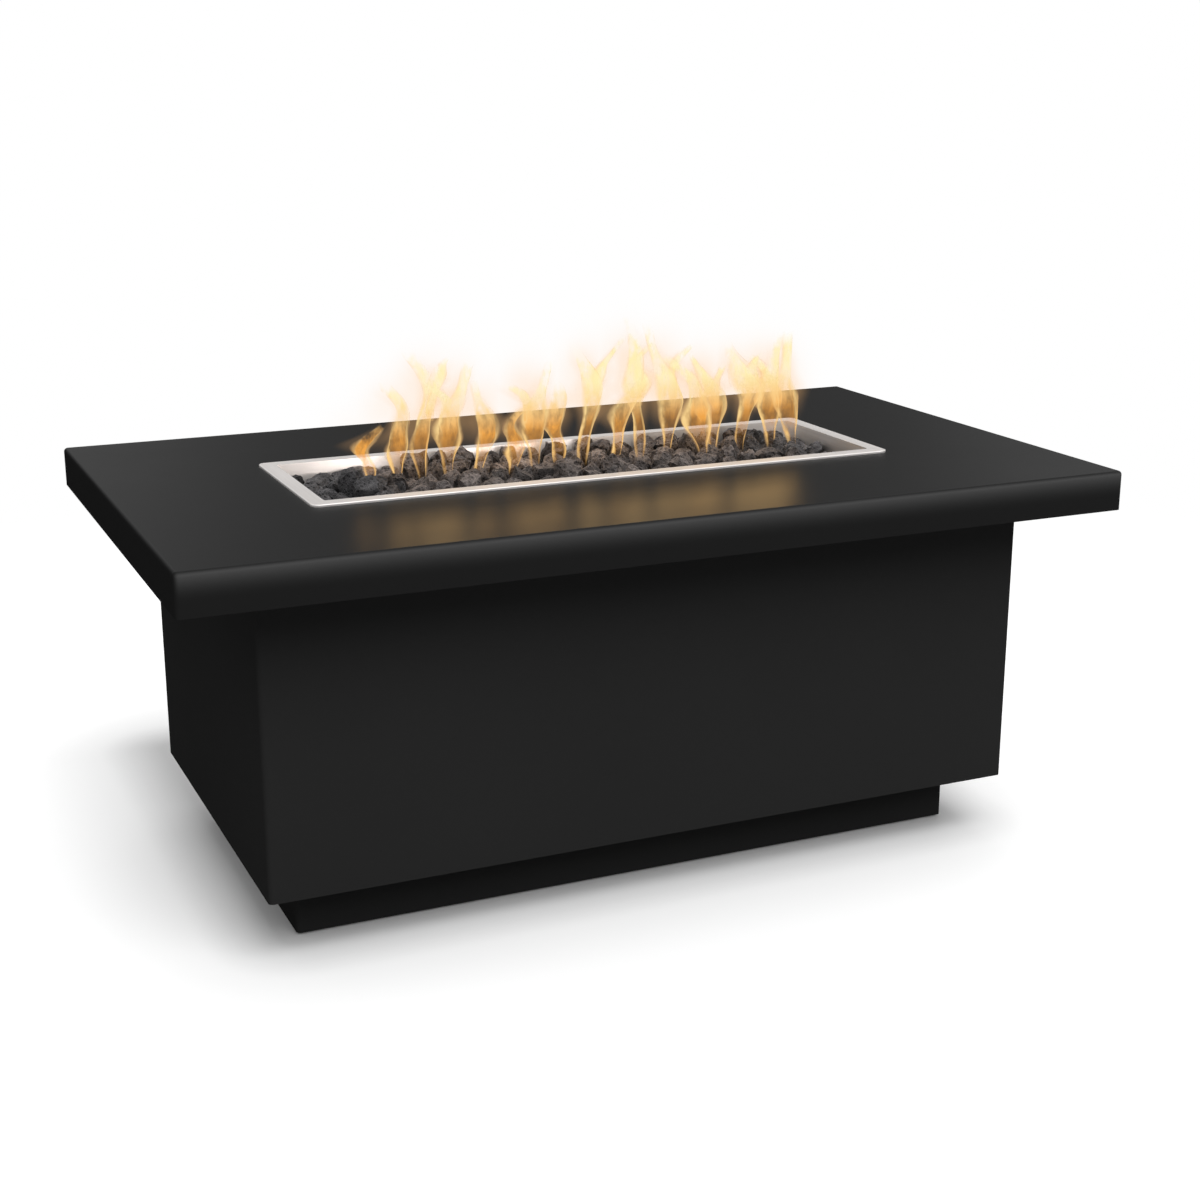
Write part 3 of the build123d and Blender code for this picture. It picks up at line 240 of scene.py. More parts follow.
# Finishes
def new_finish(name):
    """A material with its tree and Principled shader."""
    made = bpy.data.materials.new(name)
    made.use_nodes = True
    tree = made.node_tree
    return made, tree, tree.nodes["Principled BSDF"].inputs


def bare_finish(name):
    """A material with only an output in its tree."""
    made = bpy.data.materials.new(name)
    made.use_nodes = True
    tree = made.node_tree
    tree.nodes.clear()
    return made, tree, add(tree, "OutputMaterial").inputs["Surface"]


def placed_group(tree, group, **values):
    """A shared effect placed in a material."""
    made = tree.nodes.new("ShaderNodeGroup")
    made.node_tree = group
    for label, value in values.items():
        made.inputs[label.replace("_", " ")].default_value = value
    return made.outputs


def raise_bumps(tree, shader, height, strength, distance):
    """Bumps of a height on the shader's normal."""
    bump = add(tree, "Bump")
    bump.inputs["Strength"].default_value = strength
    bump.inputs["Distance"].default_value = distance
    tree.links.new(height, bump.inputs["Height"])
    tree.links.new(bump.outputs[0], shader["Normal"])


def plain_finish(name, dark, light, rough, metal=0.0, specular=0.5, grain_scale=900.0, cloud_scale=6.0,
                 bump=0.1, depth=0.0003):
    """A finish of two close tones with cloudy gloss and a fine grain."""
    made, tree, shader = new_finish(name)
    marks = placed_group(tree, surface_marks, Grain_Scale=grain_scale, Cloud_Scale=cloud_scale)
    tree.links.new(mixed(tree, marks["Cloud"], dark, light), shader["Base Color"])
    tree.links.new(spread(tree, marks["Cloud"], *rough, *noise_span), shader["Roughness"])
    raise_bumps(tree, shader, marks["Grain"], bump, depth)
    shader["Metallic"].default_value = metal
    shader["Specular IOR Level"].default_value = specular
    return made


def stainless_finish(name, dark, light, rough, metal, bump, depth):
    """Brushed stainless steel."""
    made, tree, shader = new_finish(name)
    brushed = placed_group(tree, brushed_lines, Fineness=1.0)
    tree.links.new(mixed(tree, brushed["Bands"], dark, light), shader["Base Color"])
    tree.links.new(spread(tree, brushed["Lines"], *rough, *noise_span), shader["Roughness"])
    raise_bumps(tree, shader, brushed["Lines"], bump, depth)
    shader["Metallic"].default_value = metal
    return made


def galvanised_finish(name, dark, light, rough, crystal_scale, bump, depth):
    """Zinc-coated sheet with its crystal pattern."""
    made, tree, shader = new_finish(name)
    crystals = cells(tree, object_place(tree), crystal_scale)
    tone = add(tree, "SeparateColor")
    tree.links.new(crystals["Color"], tone.inputs[0])
    tree.links.new(mixed(tree, tone.outputs[0], dark, light), shader["Base Color"])
    tree.links.new(spread(tree, tone.outputs[1], *rough), shader["Roughness"])
    raise_bumps(tree, shader, crystals["Distance"], bump, depth)
    shader["Metallic"].default_value = 1.0
    return made


# Lava rock: scales of its marks, their shares in its tone, and the spans that these come from, with painted
# shade in the pits and on faces that look down
lava_slow_scale = 60.0
lava_slow_share = 0.45
lava_slow_span = (0.35, 0.65)
lava_fine_scale = 420.0
lava_fine_share = 0.55
lava_pit_span = (0.10, 0.40)
lava_pit_shade = 0.28
lava_pit_height = 0.7
lava_painted_shade_low = 0.30
lava_painted_shade_span = (-0.2, 0.75)
lava_tone_floor = 0.25
lava_bump_depth = 0.0060


def lava_finish(name, dark, light, cold, rough, specular, pit_scales):
    """Porous lava rock: warm greys by stone, colder at the pan's ends, with pits and a rough skin; painted
    shade darkens the pits and the faces that look down.
    """
    made, tree, shader = new_finish(name)
    place = object_place(tree)
    slow = grain(tree, place, lava_slow_scale, detail=3.0, rough=0.6)
    fine = grain(tree, place, lava_fine_scale, detail=6.0, rough=0.75)
    pits = [cells(tree, place, scale)["Distance"] for scale in pit_scales]
    hollow = math_node(tree, "MINIMUM", *[spread(tree, pit, 0.0, 1.0, *lava_pit_span) for pit in pits])
    skin = plus(tree, spread(tree, slow, 0.0, lava_slow_share, *lava_slow_span),
                spread(tree, fine, 0.0, lava_fine_share, *noise_span))
    # Painted shade: the colour is darker in the pits
    skin = times(tree, skin, plus(tree, times(tree, hollow, 1.0 - lava_pit_shade), lava_pit_shade))
    # Painted shade: faces that look down are darker
    skin = times(tree, skin, spread(tree, facing_way(tree)["Z"], lava_painted_shade_low, 1.0, *lava_painted_shade_span))
    skin = times(tree, skin, larger(tree, value_of(tree, "tone"), lava_tone_floor))
    warm = mixed(tree, skin, dark, light)
    tree.links.new(mixed(tree, value_of(tree, "chill"), warm, cold, blend="MULTIPLY"), shader["Base Color"])
    tree.links.new(spread(tree, fine, *rough, *noise_span), shader["Roughness"])
    height = plus(tree, times(tree, hollow, lava_pit_height), fine)
    raise_bumps(tree, shader, height, 1.0, lava_bump_depth)
    shader["Specular IOR Level"].default_value = specular
    return made


# Table top: depth and falloff of the painted highlight under its edge, and how matt its sides are
painted_highlight_depth = 0.034
painted_highlight_falloff = 2.2
painted_highlight_side_falloff = 4.0
upward_span = (0.5, 0.95)
side_matt = 0.45


def top_coat_finish(name, dark, light, lit, rough, specular, bump, depth):
    """The table top's black coat: satin, with a painted highlight, a paler band, along the upper edge of its
    long sides.
    """
    made, tree, shader = new_finish(name)
    marks = placed_group(tree, surface_marks, Grain_Scale=1100.0, Cloud_Scale=3.0)
    facing = facing_way(tree)
    height = parts_of(tree, object_place(tree))["Z"]
    # Painted highlight: the colour turns paler toward the upper edge of the front and back sides, standing in
    # for light on that edge
    near_edge = spread(tree, height, 0.0, 1.0, top_high.z - painted_highlight_depth, top_high.z)
    on_side = math_node(tree, "POWER", unsigned(tree, facing["Y"]), painted_highlight_side_falloff)
    painted_highlight = times(tree, math_node(tree, "POWER", near_edge, painted_highlight_falloff), on_side)
    coat = mixed(tree, marks["Cloud"], dark, light)
    tree.links.new(mixed(tree, painted_highlight, coat, lit), shader["Base Color"])
    upward = spread(tree, facing["Z"], 0.0, 1.0, *upward_span)
    satin = spread(tree, marks["Cloud"], *rough, *noise_span)
    matt = times(tree, minus(tree, 1.0, upward), side_matt)
    tree.links.new(plus(tree, satin, matt), shader["Roughness"])
    tree.links.new(times(tree, upward, specular), shader["Specular IOR Level"])
    raise_bumps(tree, shader, marks["Grain"], bump, depth)
    return made


finishes = {
    "black_coat": plain_finish("black_powder_coat", grey(0.0255), grey(0.0300), (0.60, 0.70), specular=0.0,
                               grain_scale=1100.0, cloud_scale=3.0, bump=0.14),
    "stainless": stainless_finish("brushed_stainless", (0.74, 0.71, 0.69), (0.88, 0.85, 0.83), (0.42, 0.56),
                                  metal=0.85, bump=0.15, depth=0.0002),
    "zinc": plain_finish("zinc_plate", (0.46, 0.47, 0.50), (0.60, 0.61, 0.63), (0.28, 0.42), metal=1.0,
                         grain_scale=700.0, cloud_scale=60.0, bump=0.05),
    "galvanised": galvanised_finish("galvanised_sheet", (0.42, 0.43, 0.44), (0.62, 0.63, 0.64), (0.32, 0.52),
                                    crystal_scale=110.0, bump=0.05, depth=0.0005),
    "brass": plain_finish("brass", (0.60, 0.41, 0.16), (0.76, 0.55, 0.25), (0.25, 0.45), metal=1.0,
                          grain_scale=800.0, cloud_scale=45.0, bump=0.06),
    "tube_alloy": plain_finish("drawn_tube", (0.62, 0.62, 0.63), (0.74, 0.74, 0.75), (0.30, 0.45), metal=1.0,
                               grain_scale=600.0, cloud_scale=30.0, bump=0.05),
    "black_plastic": plain_finish("black_plastic", (0.013, 0.013, 0.014), (0.020, 0.020, 0.021), (0.38, 0.52),
                                  specular=0.4, grain_scale=1500.0, cloud_scale=40.0, bump=0.25),
    "rubber": plain_finish("rubber", grey(0.012), (0.024, 0.023, 0.022), (0.75, 0.92), specular=0.25,
                           grain_scale=500.0, cloud_scale=40.0, bump=0.3),
    "ceramic": plain_finish("ceramic", (0.66, 0.62, 0.55), (0.78, 0.75, 0.70), (0.22, 0.38),
                            grain_scale=900.0, cloud_scale=120.0, bump=0.05),
    "lead_cover": plain_finish("lead_cover", (0.020, 0.018, 0.018), (0.034, 0.030, 0.030), (0.55, 0.7),
                               specular=0.35, grain_scale=1200.0, cloud_scale=80.0, bump=0.2),
    "magnet": plain_finish("magnet", (0.045, 0.045, 0.047), (0.075, 0.074, 0.074), (0.5, 0.68), metal=0.3,
                           grain_scale=700.0, cloud_scale=60.0, bump=0.15),
    "lava": lava_finish("lava_rock", (0.022, 0.019, 0.019), (0.52, 0.45, 0.42), (0.50, 0.57, 0.64),
                        (0.72, 0.95), specular=0.3, pit_scales=(230.0, 118.0)),
}
satin_top = top_coat_finish("satin_top_coat", grey(0.0165), grey(0.0195), grey(0.110), (0.32, 0.37),
                            specular=0.023, bump=0.05, depth=0.0002)
for name, node in frame["nodes"].items():
    for place in node.material_slots:
        place.material = satin_top if name == "table_top" else finishes[slot_of_node[name]]


# Pieces
def new_piece(name, shape, finish, body, smooth_angle=math.radians(35)):
    """A bmesh made into a piece that rides on a body, or is left without a parent where it has none."""
    mesh = bpy.data.meshes.new(name)
    shape.to_mesh(mesh)
    shape.free()
    mesh.materials.append(finish)
    for face in mesh.polygons:
        face.use_smooth = True
    mesh.set_sharp_from_angle(angle=smooth_angle)
    piece = bpy.data.objects.new(name, mesh)
    scene.collection.objects.link(piece)
    if body is None:
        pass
    else:
        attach(piece, body)
    return piece


def gathered(whole, shape):
    """Add one small shape to a whole one."""
    mesh = bpy.data.meshes.new("part")
    shape.to_mesh(mesh)
    shape.free()
    whole.from_mesh(mesh)
    bpy.data.meshes.remove(mesh)


def float_layers(shape, *names):
    """Values kept at each corner of a shape."""
    for name in names:
        shape.verts.layers.float.new(name)
    return [shape.verts.layers.float[name] for name in names]


# Lava stones: one rough stone where each packed one sits, and small chips in the gaps
stone_seed = 5
stone_weld = 1e-5
stone_growth = Vector((1.20, 1.20, 1.24))
stone_lift = Vector((0.0, 0.0, 0.0025))
stone_fine_size = 0.012
stone_tones = (0.65, 1.15)
stone_lump = 1.06
stone_lump_depth = 0.22
stone_lump_pace = 1.3
stone_flats = 8
stone_flat_rise = (-0.5, 1.0)
stone_flat_reach = (0.52, 0.84)
stone_flatness = 0.85
stone_roughness = ((0.17, 3.4), (0.11, 8.0))
stone_smooth_angle = math.radians(30)
cold_ends = 0.27
cold_blur = 0.03
cold_chill = 0.9
warm_chill = 0.25
chip_tries = 2600
chip_sizes = (0.0065, 0.0105)
chip_shape = (1.0, 0.9, 0.8)
chip_rise = 0.35
chip_room = 0.004
chip_cover = 0.85
chip_overlap = 0.5


def packed_stones():
    """Centre and half size of each loose stone."""
    shape = bmesh.new()
    shape.from_mesh(frame["nodes"]["lava_rocks"].data)
    bmesh.ops.remove_doubles(shape, verts=shape.verts, dist=stone_weld)
    waiting = set(shape.verts)
    found = []
    while waiting:
        group = [waiting.pop()]
        for corner in group:
            for edge in corner.link_edges:
                other = edge.other_vert(corner)
                if other in waiting:
                    waiting.remove(other)
                    group.append(other)
        low = Vector([min(corner.co[axis] for corner in group) for axis in range(3)])
        high = Vector([max(corner.co[axis] for corner in group) for axis in range(3)])
        found.append(((low + high) / 2, (high - low) / 2))
    shape.free()
    return sorted(found, key=lambda stone: (round(stone[0].x, 4), round(stone[0].y, 4)))


def rough_stone(heap, centre, half, steps):
    """One angular lump with broken flats and a rough skin, added to the heap."""
    shape = bmesh.new()
    tone_layer, chill_layer = float_layers(shape, "tone", "chill")
    tone = random.uniform(*stone_tones)
    at_end = abs(centre.x) > cold_ends + random.uniform(-cold_blur, cold_blur)
    chill = cold_chill if at_end else random.uniform(0.0, warm_chill)
    ball = bmesh.ops.create_icosphere(shape, subdivisions=steps, radius=1.0)["verts"]
    seed = Vector([random.uniform(-50, 50) for axis in range(3)])
    flats = []
    for cut in range(stone_flats):
        turn = random.uniform(0, full_turn)
        rise = random.uniform(*stone_flat_rise)
        level = math.sqrt(1 - rise * rise)
        normal = Vector((level * math.cos(turn), level * math.sin(turn), rise))
        flats.append((normal, random.uniform(*stone_flat_reach)))
    for corner in ball:
        way = corner.co.normalized()
        spot = way * (stone_lump + stone_lump_depth * noise.noise(way * stone_lump_pace + seed))
        for normal, reach in flats:
            over = spot.dot(normal) - reach
            if over > 0:
                spot -= normal * (over * stone_flatness)
        swell = 1.0
        for depth, pace in stone_roughness:
            swell += depth * noise.noise(way * pace + seed)
        corner.co = centre + spot * swell * half
        corner[tone_layer] = tone
        corner[chill_layer] = chill
    gathered(heap, shape)


def chip_places(stones):
    """Small chips on the bed in the gaps between the stones, clear of what stands out of the bed."""
    tube_low, tube_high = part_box("burner_tube")
    upright = [corner.co.xy for name in ("spark_electrode", "thermocouple")
               for corner in frame["nodes"][name].data.vertices if corner.co.z > bed_high.z]
    found = []
    for attempt in range(chip_tries):
        size = random.uniform(*chip_sizes)
        spot = Vector((random.uniform(-1, 1) * (pan_half_length - size),
                       random.uniform(-1, 1) * (pan_half_width - size)))
        over_tube = all(low - size < middle < high + size
                        for low, middle, high in zip(tube_low.xy, spot, tube_high.xy))
        near_upright = any((spot - place).length < size + chip_room for place in upright)
        covered = any((spot - centre.xy).length < chip_cover * max(half.xy) + chip_overlap * size
                      for centre, half in stones + found)
        if not (over_tube or near_upright or covered):
            found.append((Vector((*spot, bed_high.z + chip_rise * size)),
                          Vector([share * size for share in chip_shape])))
    return found


def lava_stones():
    """All the stones in one piece."""
    random.seed(stone_seed)
    heap = bmesh.new()
    stones = packed_stones()
    for centre, half in stones:
        steps = 3 if max(half.x, half.y) > stone_fine_size else 2
        rough_stone(heap, centre + stone_lift, half * stone_growth, steps)
    for centre, half in chip_places(stones):
        rough_stone(heap, centre, half, 2)
    bmesh.ops.recalc_face_normals(heap, faces=heap.faces)
    piece = new_piece("lava_stones", heap, finishes["lava"], "base", stone_smooth_angle)
    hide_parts("lava_rocks")
    return piece


lava_stones()

# Flames: burning gas, which rides on no body as it is no piece of the table
# Foot place along the pan, lean of the tip and height above the bed, in millimetres
flame_places = (
    (-284, -10, 66), (-251, 11, 110), (-215, 13, 140), (-180, 14, 128), (-142, 18, 105), (-99, 10, 82),
    (-64, 2, 122), (-24, -10, 100), (9, 14, 145), (51, 24, 108), (88, -19, 162), (134, -14, 152),
    (179, -30, 120), (205, -19, 124), (244, -3, 132), (290, -14, 134), (326, -37, 132),
)
flame_seed = 23
flame_foot = 0.497
flame_stretch = 1.22
flame_rows = 44
flame_columns = 36
flame_flatness = 0.55
flame_full_height = 105
flame_smooth_angle = math.radians(80)
flame_depths = (-0.010, 0.010)
flame_widths = (0.0145, 0.0205)
flame_sways = (0.005, 0.011)
flame_hooks = (0.008, 0.034)
lean_bend = 1.4
hook_start = 0.55
sway_pace = 7.5
sway_foot = 0.15
depth_sway = 0.5
depth_pace = 4.0
edge_depth = 0.6

# A wisp leaves each tall flame: its place, lean, height and width beside the flame's
wisp_flame_height = 0.135
wisp_start = 0.40
wisp_places = (0.30, 0.50)
wisp_aside = 0.5
wisp_depths = (-0.006, 0.006)
wisp_leans = (0.006, 0.016)
wisp_heights = (0.36, 0.52)
wisp_widths = (0.55, 0.80)
wisp_sways = (0.003, 0.007)

# A flame's width along its height: a slim foot, waists and bellies, and a narrower tip
foot_girth = 0.36
full_girth_height = 0.46
girth_bend = 1.4
waist_depth = 0.32
waist_pace = 9.0
tip_start = 0.60
tip_narrowing = 0.48
tip_bend = 1.5

# Marks in a flame: bright walls at its edges, a cloudy fill, a torn tip and a faint skirt of glow
flame_detail = 3.0
flame_noise_rough = 0.6
flame_streak_scale = (48.0, 48.0, 24.0)
flame_cloud_scale = (75.0, 75.0, 34.0)
flame_cloud_tones = (0.55, 1.15)
flame_cloud_span = (0.36, 0.64)
wall_wander = 0.7
wall_span = (0.40, 0.78)
wall_tones = (1.0, 0.60)
wall_tone_span = (-0.10, 0.14)
wall_share = 0.95
fill_shares = (0.05, 0.80)
fill_span = (0.14, 0.46)
edge_places = (0.78, 0.35)
edge_span = (0.30, 0.85)
torn_wander = 1.3
torn_span = (0.74, 1.05)
foot_span = (0.0, 0.14)
tip_span = (0.86, 1.0)
skirt_share = 0.26
skirt_start = 0.4
skirt_reach = 2.0
skirt_heights = (0.53, 0.58)
skirt_span = (0.60, 1.0)
skirt_color = (1.0, 0.58, 0.25)
fill_heights = (0.555, 0.610)
fill_colors = ((0.95, 0.42, 0.08), (1.0, 0.87, 0.45))
wall_heights = (0.520, 0.600)
wall_colors = ((1.0, 0.64, 0.24), (1.0, 0.77, 0.36))

# Reflections of the flames in the table top: from this far away, this much stronger and more amber
mirror_span = (0.20, 0.31)
mirror_gain = 4.2
mirror_share = 0.7
mirror_color = (1.0, 0.60, 0.22)


def flame_look(tree):
    """Colour and cover of a flame: two bright walls with clear amber between them, fuller above."""
    rise = value_of(tree, "rise")
    along = value_of(tree, "along")
    across = value_of(tree, "across")
    off_middle = unsigned(tree, across)
    place = object_place(tree)
    height = parts_of(tree, place)["Z"]
    streaks = grain(tree, stretched(tree, place, flame_streak_scale), 1.0, flame_detail, flame_noise_rough)
    drift = minus(tree, streaks, 0.5)
    wander = plus(tree, across, times(tree, drift, wall_wander))
    wall = spread(tree, unsigned(tree, wander), 0.0, 1.0, *wall_span, "SMOOTHSTEP")
    wall = times(tree, wall, spread(tree, drift, *wall_tones, *wall_tone_span))
    clouds = grain(tree, stretched(tree, place, flame_cloud_scale), 1.0, flame_detail, flame_noise_rough)
    clouds = spread(tree, clouds, *flame_cloud_tones, *flame_cloud_span)
    fill = times(tree, spread(tree, rise, *fill_shares, *fill_span), clouds)
    edge = spread(tree, rise, *edge_places, *edge_span)
    beyond = math_node(tree, "DIVIDE", minus(tree, off_middle, edge), minus(tree, 1.0, edge))
    soft = spread(tree, beyond, 1.0, 0.0, 0.0, 1.0, "SMOOTHSTEP")
    ragged = plus(tree, along, times(tree, drift, torn_wander))
    fade = times(tree, spread(tree, along, 0.0, 1.0, *foot_span),
                 spread(tree, ragged, 1.0, 0.0, *torn_span, "SMOOTHSTEP"))
    fade = times(tree, fade, spread(tree, along, 1.0, 0.0, *tip_span))
    cover = larger(tree, times(tree, wall, wall_share), fill)
    cover = times(tree, times(tree, cover, soft), fade)
    skirt = spread(tree, off_middle, skirt_share, 0.0, skirt_start, skirt_reach, "SMOOTHSTEP")
    skirt = times(tree, skirt, spread(tree, height, 0.0, 1.0, *skirt_heights, "SMOOTHSTEP"))
    skirt = times(tree, skirt, spread(tree, along, 1.0, 0.0, *skirt_span, "SMOOTHSTEP"))
    inner = mixed(tree, spread(tree, height, 0.0, 1.0, *fill_heights), *fill_colors)
    outer = mixed(tree, spread(tree, height, 0.0, 1.0, *wall_heights), *wall_colors)
    color = mixed(tree, soft, skirt_color, mixed(tree, wall, inner, outer))
    return color, larger(tree, cover, skirt)


def flame_finish(name):
    """Burning gas, which glows over what lies behind it, and stronger in far reflections."""
    made, tree, surface = bare_finish(name)
    color, cover = flame_look(tree)
    ways = add(tree, "LightPath").outputs
    far = spread(tree, ways["Ray Length"], 0.0, mirror_gain, *mirror_span)
    glow = add(tree, "Emission")
    tree.links.new(mixed(tree, times(tree, ways["Is Glossy Ray"], mirror_share), color, mirror_color),
                   glow.inputs["Color"])
    tree.links.new(plus(tree, times(tree, ways["Is Glossy Ray"], far), 1.0), glow.inputs["Strength"])
    clear = add(tree, "BsdfTransparent")
    both = add(tree, "MixShader")
    tree.links.new(cover, both.inputs[0])
    tree.links.new(clear.outputs[0], both.inputs[1])
    tree.links.new(glow.outputs[0], both.inputs[2])
    tree.links.new(both.outputs[0], surface)
    return made


def flame_girth(share, phase):
    """Share of the widest half width at a share of the height."""
    swell = math.sin(math.pi / 2 * min(1.0, share / full_girth_height)) ** girth_bend
    waist = 1.0 + waist_depth * math.sin(waist_pace * share + phase) * min(1.0, 3.0 * share)
    tip = max(0.0, (share - tip_start) / (1.0 - tip_start)) ** tip_bend
    return (foot_girth + (1.0 - foot_girth) * swell) * waist * (1.0 - tip_narrowing * tip)


def flame_sheet(whole, foot, lean, hook, height, width, sway, phase, start):
    """A swaying curved sheet of burning gas. Start is the share of the way up where it begins."""
    shape = bmesh.new()
    rise_layer, along_layer, across_layer = float_layers(shape, "rise", "along", "across")
    corners = bmesh.ops.create_grid(shape, x_segments=flame_columns, y_segments=flame_rows, size=1.0)["verts"]
    for corner in corners:
        across = skirt_reach * corner.co.x
        inside = max(-1.0, min(1.0, across))
        share = (corner.co.y + 1.0) / 2.0
        girth = width * flame_girth(share, 1.9 * phase)
        edge = noise.noise(Vector((10.0 * phase, 5.0 * share, 3.0 * inside)))
        swing = sway * math.sin(phase + sway_pace * share) * (sway_foot + share)
        curl = hook * (max(0.0, share - hook_start) / (1.0 - hook_start)) ** 2
        middle = foot.x + lean * share ** lean_bend + swing + curl
        bulge = flame_flatness * girth * math.cos(math.pi / 2 * inside)
        depth = foot.y + depth_sway * sway * math.sin(1.7 * phase + depth_pace * share) - bulge
        corner.co = Vector((middle + across * girth * (1.0 + edge_depth * abs(inside) * edge), depth,
                            foot.z + height * share))
        corner[rise_layer] = start + (1.0 - start) * share
        corner[along_layer] = share
        corner[across_layer] = across
    gathered(whole, shape)


def flames(finish):
    """The row of tongues along the burner, the tall ones with a wisp that leaves them half way up."""
    random.seed(flame_seed)
    whole = bmesh.new()
    for place, lean, height in flame_places:
        foot = Vector((place / 1000, random.uniform(*flame_depths), flame_foot))
        width = random.uniform(*flame_widths) * min(1.0, height / flame_full_height)
        sway = random.uniform(*flame_sways)
        phase = random.uniform(0, full_turn)
        side = random.choice((-1, 1))
        hook = side * random.uniform(*flame_hooks)
        tall = height / 1000 * flame_stretch
        flame_sheet(whole, foot, lean / 1000, hook, tall, width, sway, phase, 0.0)
        if tall > wisp_flame_height:
            where = random.uniform(*wisp_places)
            branch = foot + Vector((lean / 1000 * where - side * width * wisp_aside,
                                    random.uniform(*wisp_depths), tall * where))
            wisp_lean = lean / 2000 - side * random.uniform(*wisp_leans)
            wisp_tall = tall * random.uniform(*wisp_heights)
            wisp_width = width * random.uniform(*wisp_widths)
            wisp_sway = random.uniform(*wisp_sways)
            wisp_phase = random.uniform(0, full_turn)
            flame_sheet(whole, branch, wisp_lean, -hook, wisp_tall, wisp_width, wisp_sway, wisp_phase,
                        wisp_start)
    return new_piece("flames", whole, finish, None, flame_smooth_angle)


flames(flame_finish("flame"))

# Painted glow round the flames: one upright sheet that tints what lies behind it, standing in for the flames'
# light
haze_columns = 90
haze_rows = 36
haze_middle = 0.03
haze_half_length = 0.46
haze_height = 0.30
haze_place = 0.02
haze_reach = 0.038
haze_full_height = 0.145
haze_start = 0.68
haze_low = 0.550
haze_blend = 0.030
haze_evenness = 0.75
haze_swirl = 0.5
haze_swirl_pace = 14.0
painted_glow_tint = (1.0, 0.83, 0.69)


def painted_glow_sheet(name):
    """A clear finish that tints what lies behind it by the strength of the painted glow."""
    made, tree, surface = bare_finish(name)
    clear = add(tree, "BsdfTransparent")
    tree.links.new(mixed(tree, value_of(tree, "glow_strength"), white, painted_glow_tint), clear.inputs["Color"])
    tree.links.new(clear.outputs[0], surface)
    return made


def glow_strength_at(x, z):
    """How strong the painted glow is at a place over the burner: strongest round the upper half of each
    tongue.
    """
    strongest_glow = 0.0
    for place, lean, height in flame_places:
        tall = height / 1000 * flame_stretch
        share = min(1.0, max(0.0, (z - flame_foot) / tall))
        aside = (x - place / 1000 - lean / 1000 * share ** lean_bend) / haze_reach
        above = max(0.0, z - flame_foot - haze_start * tall) / haze_reach
        strongest_glow = max(strongest_glow, min(1.0, tall / haze_full_height) ** 2 * math.exp(-aside ** 2 - above ** 2))
    return strongest_glow * min(1.0, max(0.0, (z - haze_low) / haze_blend))


def haze(finish):
    """The sheet of painted glow, which throws no shadow and no reflection."""
    shape = bmesh.new()
    glow_strength_layer = float_layers(shape, "glow_strength")[0]
    corners = bmesh.ops.create_grid(shape, x_segments=haze_columns, y_segments=haze_rows, size=1.0)["verts"]
    for corner in corners:
        x = haze_middle + haze_half_length * corner.co.x
        z = flame_foot + haze_height * (corner.co.y + 1.0) / 2.0
        swirl = haze_evenness + haze_swirl * noise.noise(Vector((x, z, 0.0)) * haze_swirl_pace)
        corner[glow_strength_layer] = min(1.0, glow_strength_at(x, z) * swirl)
        corner.co = Vector((x, haze_place, z))
    piece = new_piece("haze", shape, finish, None, flame_smooth_angle)
    piece.visible_shadow = False
    piece.visible_glossy = False


haze(painted_glow_sheet("painted_glow_sheet"))

# Floor: the table's shadow lies round a rectangle, with a painted lift of white light that grows away from it
# and shapes the shadow, and further out the floor is plain white
shadow_middle = Vector((0.0, 0.147, 0.0))
shadow_half = Vector((0.46, 0.353, 0.0))
floor_radius = 14.0
floor_tones = (grey(0.74), grey(0.76))
floor_bounce = grey(0.46)
painted_shadow_lifts = ((0.05, 0.37, 0.02, 0.11), (0.0, 0.09, 0.11, 0.22))
floor_white_span = (0.6, 1.6)


def beyond_shadow(tree):
    """Distance on the floor from the shadow's rectangle."""
    away = object_place(tree)
    for operation, value in (("SUBTRACT", shadow_middle), ("ABSOLUTE", None), ("SUBTRACT", shadow_half),
                             ("MAXIMUM", Vector(black)), ("LENGTH", None)):
        step = add(tree, "VectorMath", operation=operation)
        tree.links.new(away, step.inputs[0])
        if value is not None:
            step.inputs[1].default_value = value
        away = step.outputs["Value" if operation == "LENGTH" else "Vector"]
    return away


def floor_finish():
    """A pale matt floor, plain white further out, where painted light that grows with the distance from a
    rectangle keeps the table's shadow close around it.
    """
    made, tree, shader = new_finish("pale_floor")
    shader["Roughness"].default_value = 0.95
    shader["Specular IOR Level"].default_value = 0.0
    marks = placed_group(tree, surface_marks, Grain_Scale=200.0, Cloud_Scale=2.0)
    ways = add(tree, "LightPath").outputs
    seen = larger(tree, ways["Is Camera Ray"], ways["Is Glossy Ray"])
    away = beyond_shadow(tree)
    far = spread(tree, away, 0.0, 1.0, *floor_white_span)
    pale = mixed(tree, ways["Is Diffuse Ray"], mixed(tree, marks["Cloud"], *floor_tones), floor_bounce)
    tree.links.new(mixed(tree, times(tree, seen, far), pale, black), shader["Base Color"])
    # Painted light: a white lift that grows with the distance from the rectangle, which shapes the table's
    # shadow
    painted_near_lift = plus(tree, *[spread(tree, away, *lift) for lift in painted_shadow_lifts])
    lift = mixed(tree, far, painted_near_lift, 1.0, "FLOAT")
    shader["Emission Color"].default_value = (*white, 1.0)
    tree.links.new(times(tree, seen, lift), shader["Emission Strength"])
    return made


floor_shape = bmesh.new()
bmesh.ops.create_circle(floor_shape, cap_ends=True, segments=96, radius=floor_radius)
new_piece("floor", floor_shape, floor_finish(), None)

# Sky: steps of the dome by rise, and the pale studio that shiny pieces see, with a dim panel behind the table
dome_ends = ((0.0, 0.02), (0.80, 0.80))
dome_middle = (0.35, 0.17)
panel_turn = math.radians(23.5)
panel_span = (0.968, 0.986)
panel_dimming = 0.46
studio_white = 0.98
studio_back = 0.56
studio_back_span = (0.0, 0.80)
studio_high_span = (0.36, 0.60)


